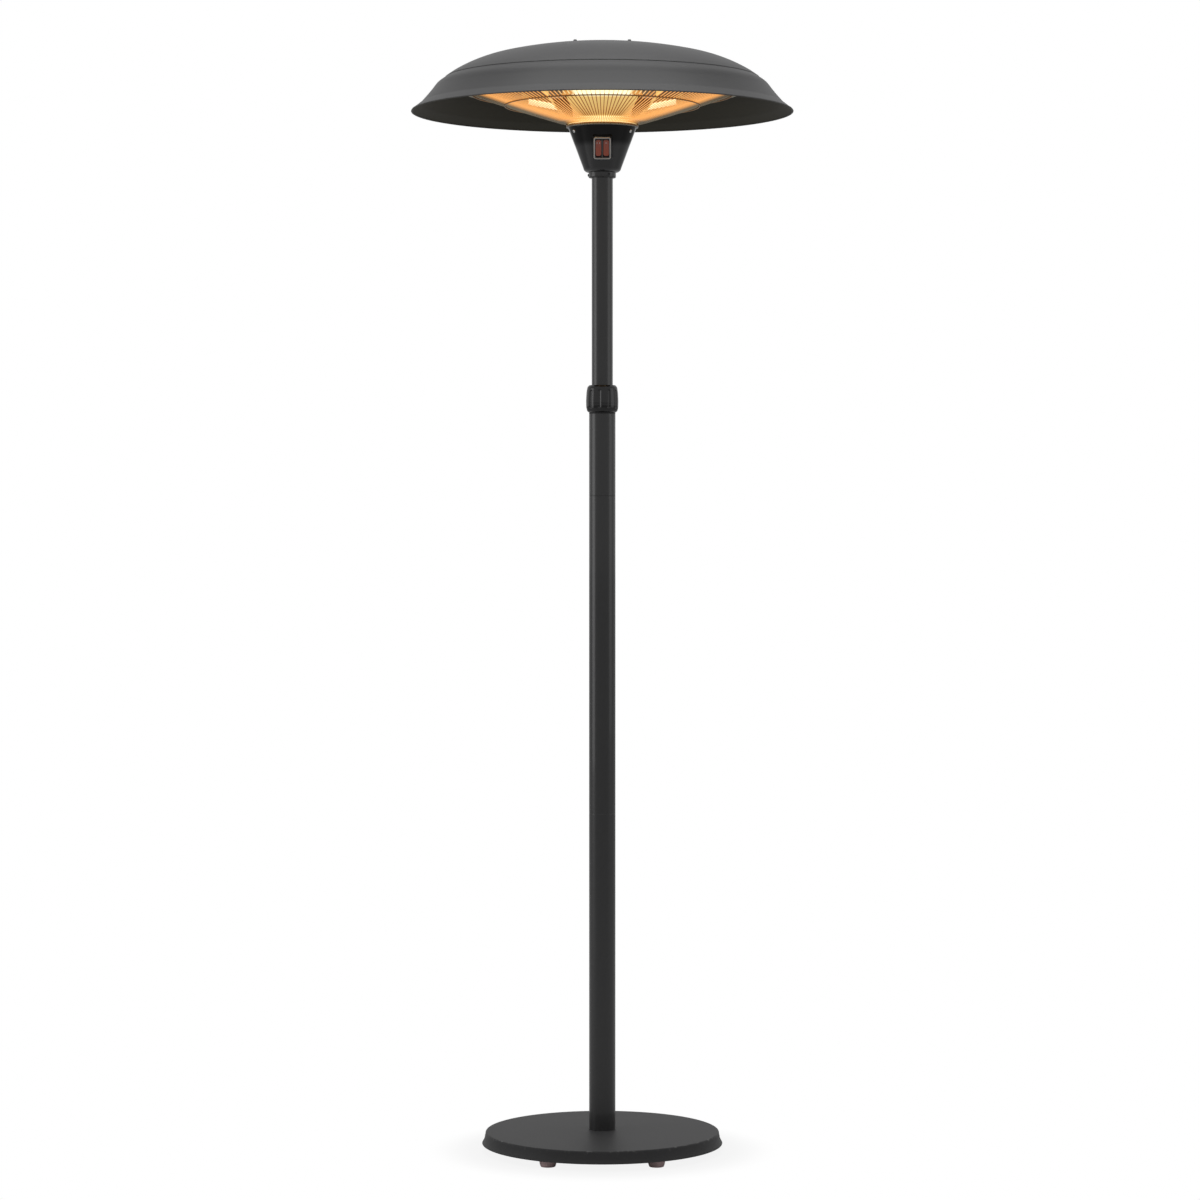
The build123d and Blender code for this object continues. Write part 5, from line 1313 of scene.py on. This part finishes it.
class HEATER_OT_stage(bpy.types.Operator):
    """Sets the pale floor, the soft studio lights, the white surroundings and the camera."""

    bl_idname = "heater.stage"
    bl_label = "Stage"

    def execute(self, context):
        look = context.scene.heater_stage
        scene = context.scene
        reach = np.concatenate([[0.0], np.geomspace(0.4, 60.0, 24)])[:, None]
        a = np.linspace(0, 2 * pi, 96, endpoint=False)
        disc = np.stack([reach * np.cos(a), reach * np.sin(a), 0 * reach * a], axis=-1)
        index = np.arange(disc.shape[0] * disc.shape[1]).reshape(disc.shape[:2])
        right = np.roll(index, -1, axis=1)
        faces = np.stack([index[:-1], index[1:], right[1:], right[:-1]], axis=-1).reshape(-1, 4)
        mesh = bpy.data.meshes.new("studio_floor")
        mesh.from_pydata(disc.reshape(-1, 3), [], faces.tolist())
        floor = bpy.data.objects.new("studio_floor", mesh)
        scene.collection.objects.link(floor)
        f = Finish("floor_paper")
        f.set(Base_Color=tuple(look.floor), Roughness=0.8, Specular_IOR_Level=0.0)
        white = f.node("ShaderNodeEmission", {}, (1.0, 1.0, 1.0, 1.0), 1.0).outputs[0]
        path = f.node("ShaderNodeLightPath", {})
        shadow_share = 0.12  # of the floor's own shading, seen next to the base and fading with distance
        away = f.reach().step(235.0, 340.0)
        seen = Value(f, path.outputs["Is Camera Ray"]) * (away * shadow_share + (1 - shadow_share))
        mirrored = Value(f, path.outputs["Is Glossy Ray"]) * 0.2
        blend = f.node("ShaderNodeMixShader", {}, seen + mirrored, f.shader.outputs[0], white)
        output = f.tree.nodes["Material Output"]
        f.tree.links.new(blend.outputs[0], output.inputs["Surface"])
        mesh.materials.append(f.material)

        world = bpy.data.worlds.new("studio")
        scene.world = world
        world.use_nodes = True
        tree = world.node_tree
        path = tree.nodes.new("ShaderNodeLightPath")
        background = tree.nodes["Background"]
        background.inputs["Color"].default_value = (1.0, 1.0, 1.0, 1.0)
        glossy = tree.nodes.new("ShaderNodeMath")
        glossy.operation = "MULTIPLY_ADD"
        tree.links.new(path.outputs["Is Glossy Ray"], glossy.inputs[0])
        seen_in_gloss, fill = 0.55, 0.11
        glossy.inputs[1].default_value = seen_in_gloss
        glossy.inputs[2].default_value = fill
        most = tree.nodes.new("ShaderNodeMath")
        most.operation = "MAXIMUM"
        tree.links.new(glossy.outputs[0], most.inputs[0])
        tree.links.new(path.outputs["Is Camera Ray"], most.inputs[1])
        tree.links.new(most.outputs[0], background.inputs["Strength"])

        for name, at, aim, size, power in (
            ("key_light", (0.0, -0.4, 5.2), (0.0, 0.0, 1.0), 3.6, 88.0),
            ("left_light", (-4.2, -0.6, 1.5), (0.0, 0.0, 1.1), 2.2, 22.0),
            ("right_light", (4.2, -1.0, 1.6), (0.0, 0.0, 1.1), 2.2, 9.0),
        ):
            lamp = bpy.data.lights.new(name, "AREA")
            lamp.shape = "SQUARE"
            lamp.size = size
            lamp.energy = power
            made = bpy.data.objects.new(name, lamp)
            scene.collection.objects.link(made)
            made.location = at
            made.rotation_euler = self.facing(at, aim)

        camera = bpy.data.cameras.new("photo_camera")
        camera.lens = look.lens
        camera.sensor_width = 36.0
        camera.clip_end = 200.0
        made = bpy.data.objects.new("photo_camera", camera)
        scene.collection.objects.link(made)
        made.location = (0.0, -look.distance, look.eye)
        below_level, to_the_left = 1.493, 0.037  # degrees
        made.rotation_euler = (radians(90.0 - below_level), 0.0, radians(to_the_left))
        scene.camera = made
        scene.view_settings.view_transform = "Standard"
        return {"FINISHED"}

    def facing(self, at, aim):
        """Turn that points a light's -Z from where it stands to its aim."""
        x, y, z = (b - a for a, b in zip(at, aim))
        flat = (x * x + y * y) ** 0.5
        return (atan2(flat, -z), 0.0, atan2(-x, y) if flat > 1e-6 else 0.0)


OPERATORS = (
    HEATER_OT_plain_nodes,
    HEATER_OT_hood,
    HEATER_OT_hood_fixings,
    HEATER_OT_reflectors,
    HEATER_OT_lamps,
    HEATER_OT_guard,
    HEATER_OT_housing,
    HEATER_OT_switch,
    HEATER_OT_gland,
    HEATER_OT_mast,
    HEATER_OT_collar,
    HEATER_OT_base,
    HEATER_OT_stage,
)
GROUPS = {
    "heater_hood": HeaterHood,
    "heater_guard": HeaterGuard,
    "heater_lamps": HeaterLamps,
    "heater_body": HeaterBody,
    "heater_stage": HeaterStage,
}


class HEATER_PT_panel(bpy.types.Panel):
    """Lists the heater's pieces and what can be changed on them."""

    bl_label = "Patio heater"
    bl_idname = "HEATER_PT_panel"
    bl_space_type = "VIEW_3D"
    bl_region_type = "UI"
    bl_category = "Heater"

    def draw(self, context):
        for name, group in GROUPS.items():
            box = self.layout.box()
            for prop in group.__annotations__:
                box.prop(getattr(context.scene, name), prop)
        for operator in OPERATORS:
            self.layout.operator(operator.bl_idname)


def register():
    for made in (*GROUPS.values(), *OPERATORS, HEATER_PT_panel):
        bpy.utils.register_class(made)
    for name, group in GROUPS.items():
        setattr(bpy.types.Scene, name, PointerProperty(type=group))


def unregister():
    for name in GROUPS:
        delattr(bpy.types.Scene, name)
    for made in (HEATER_PT_panel, *reversed(OPERATORS), *GROUPS.values()):
        bpy.utils.unregister_class(made)


def main():
    register()
    for operator in OPERATORS:
        family, name = operator.bl_idname.split(".")
        getattr(getattr(bpy.ops, family), name)()


if __name__ == "__main__":
    main()
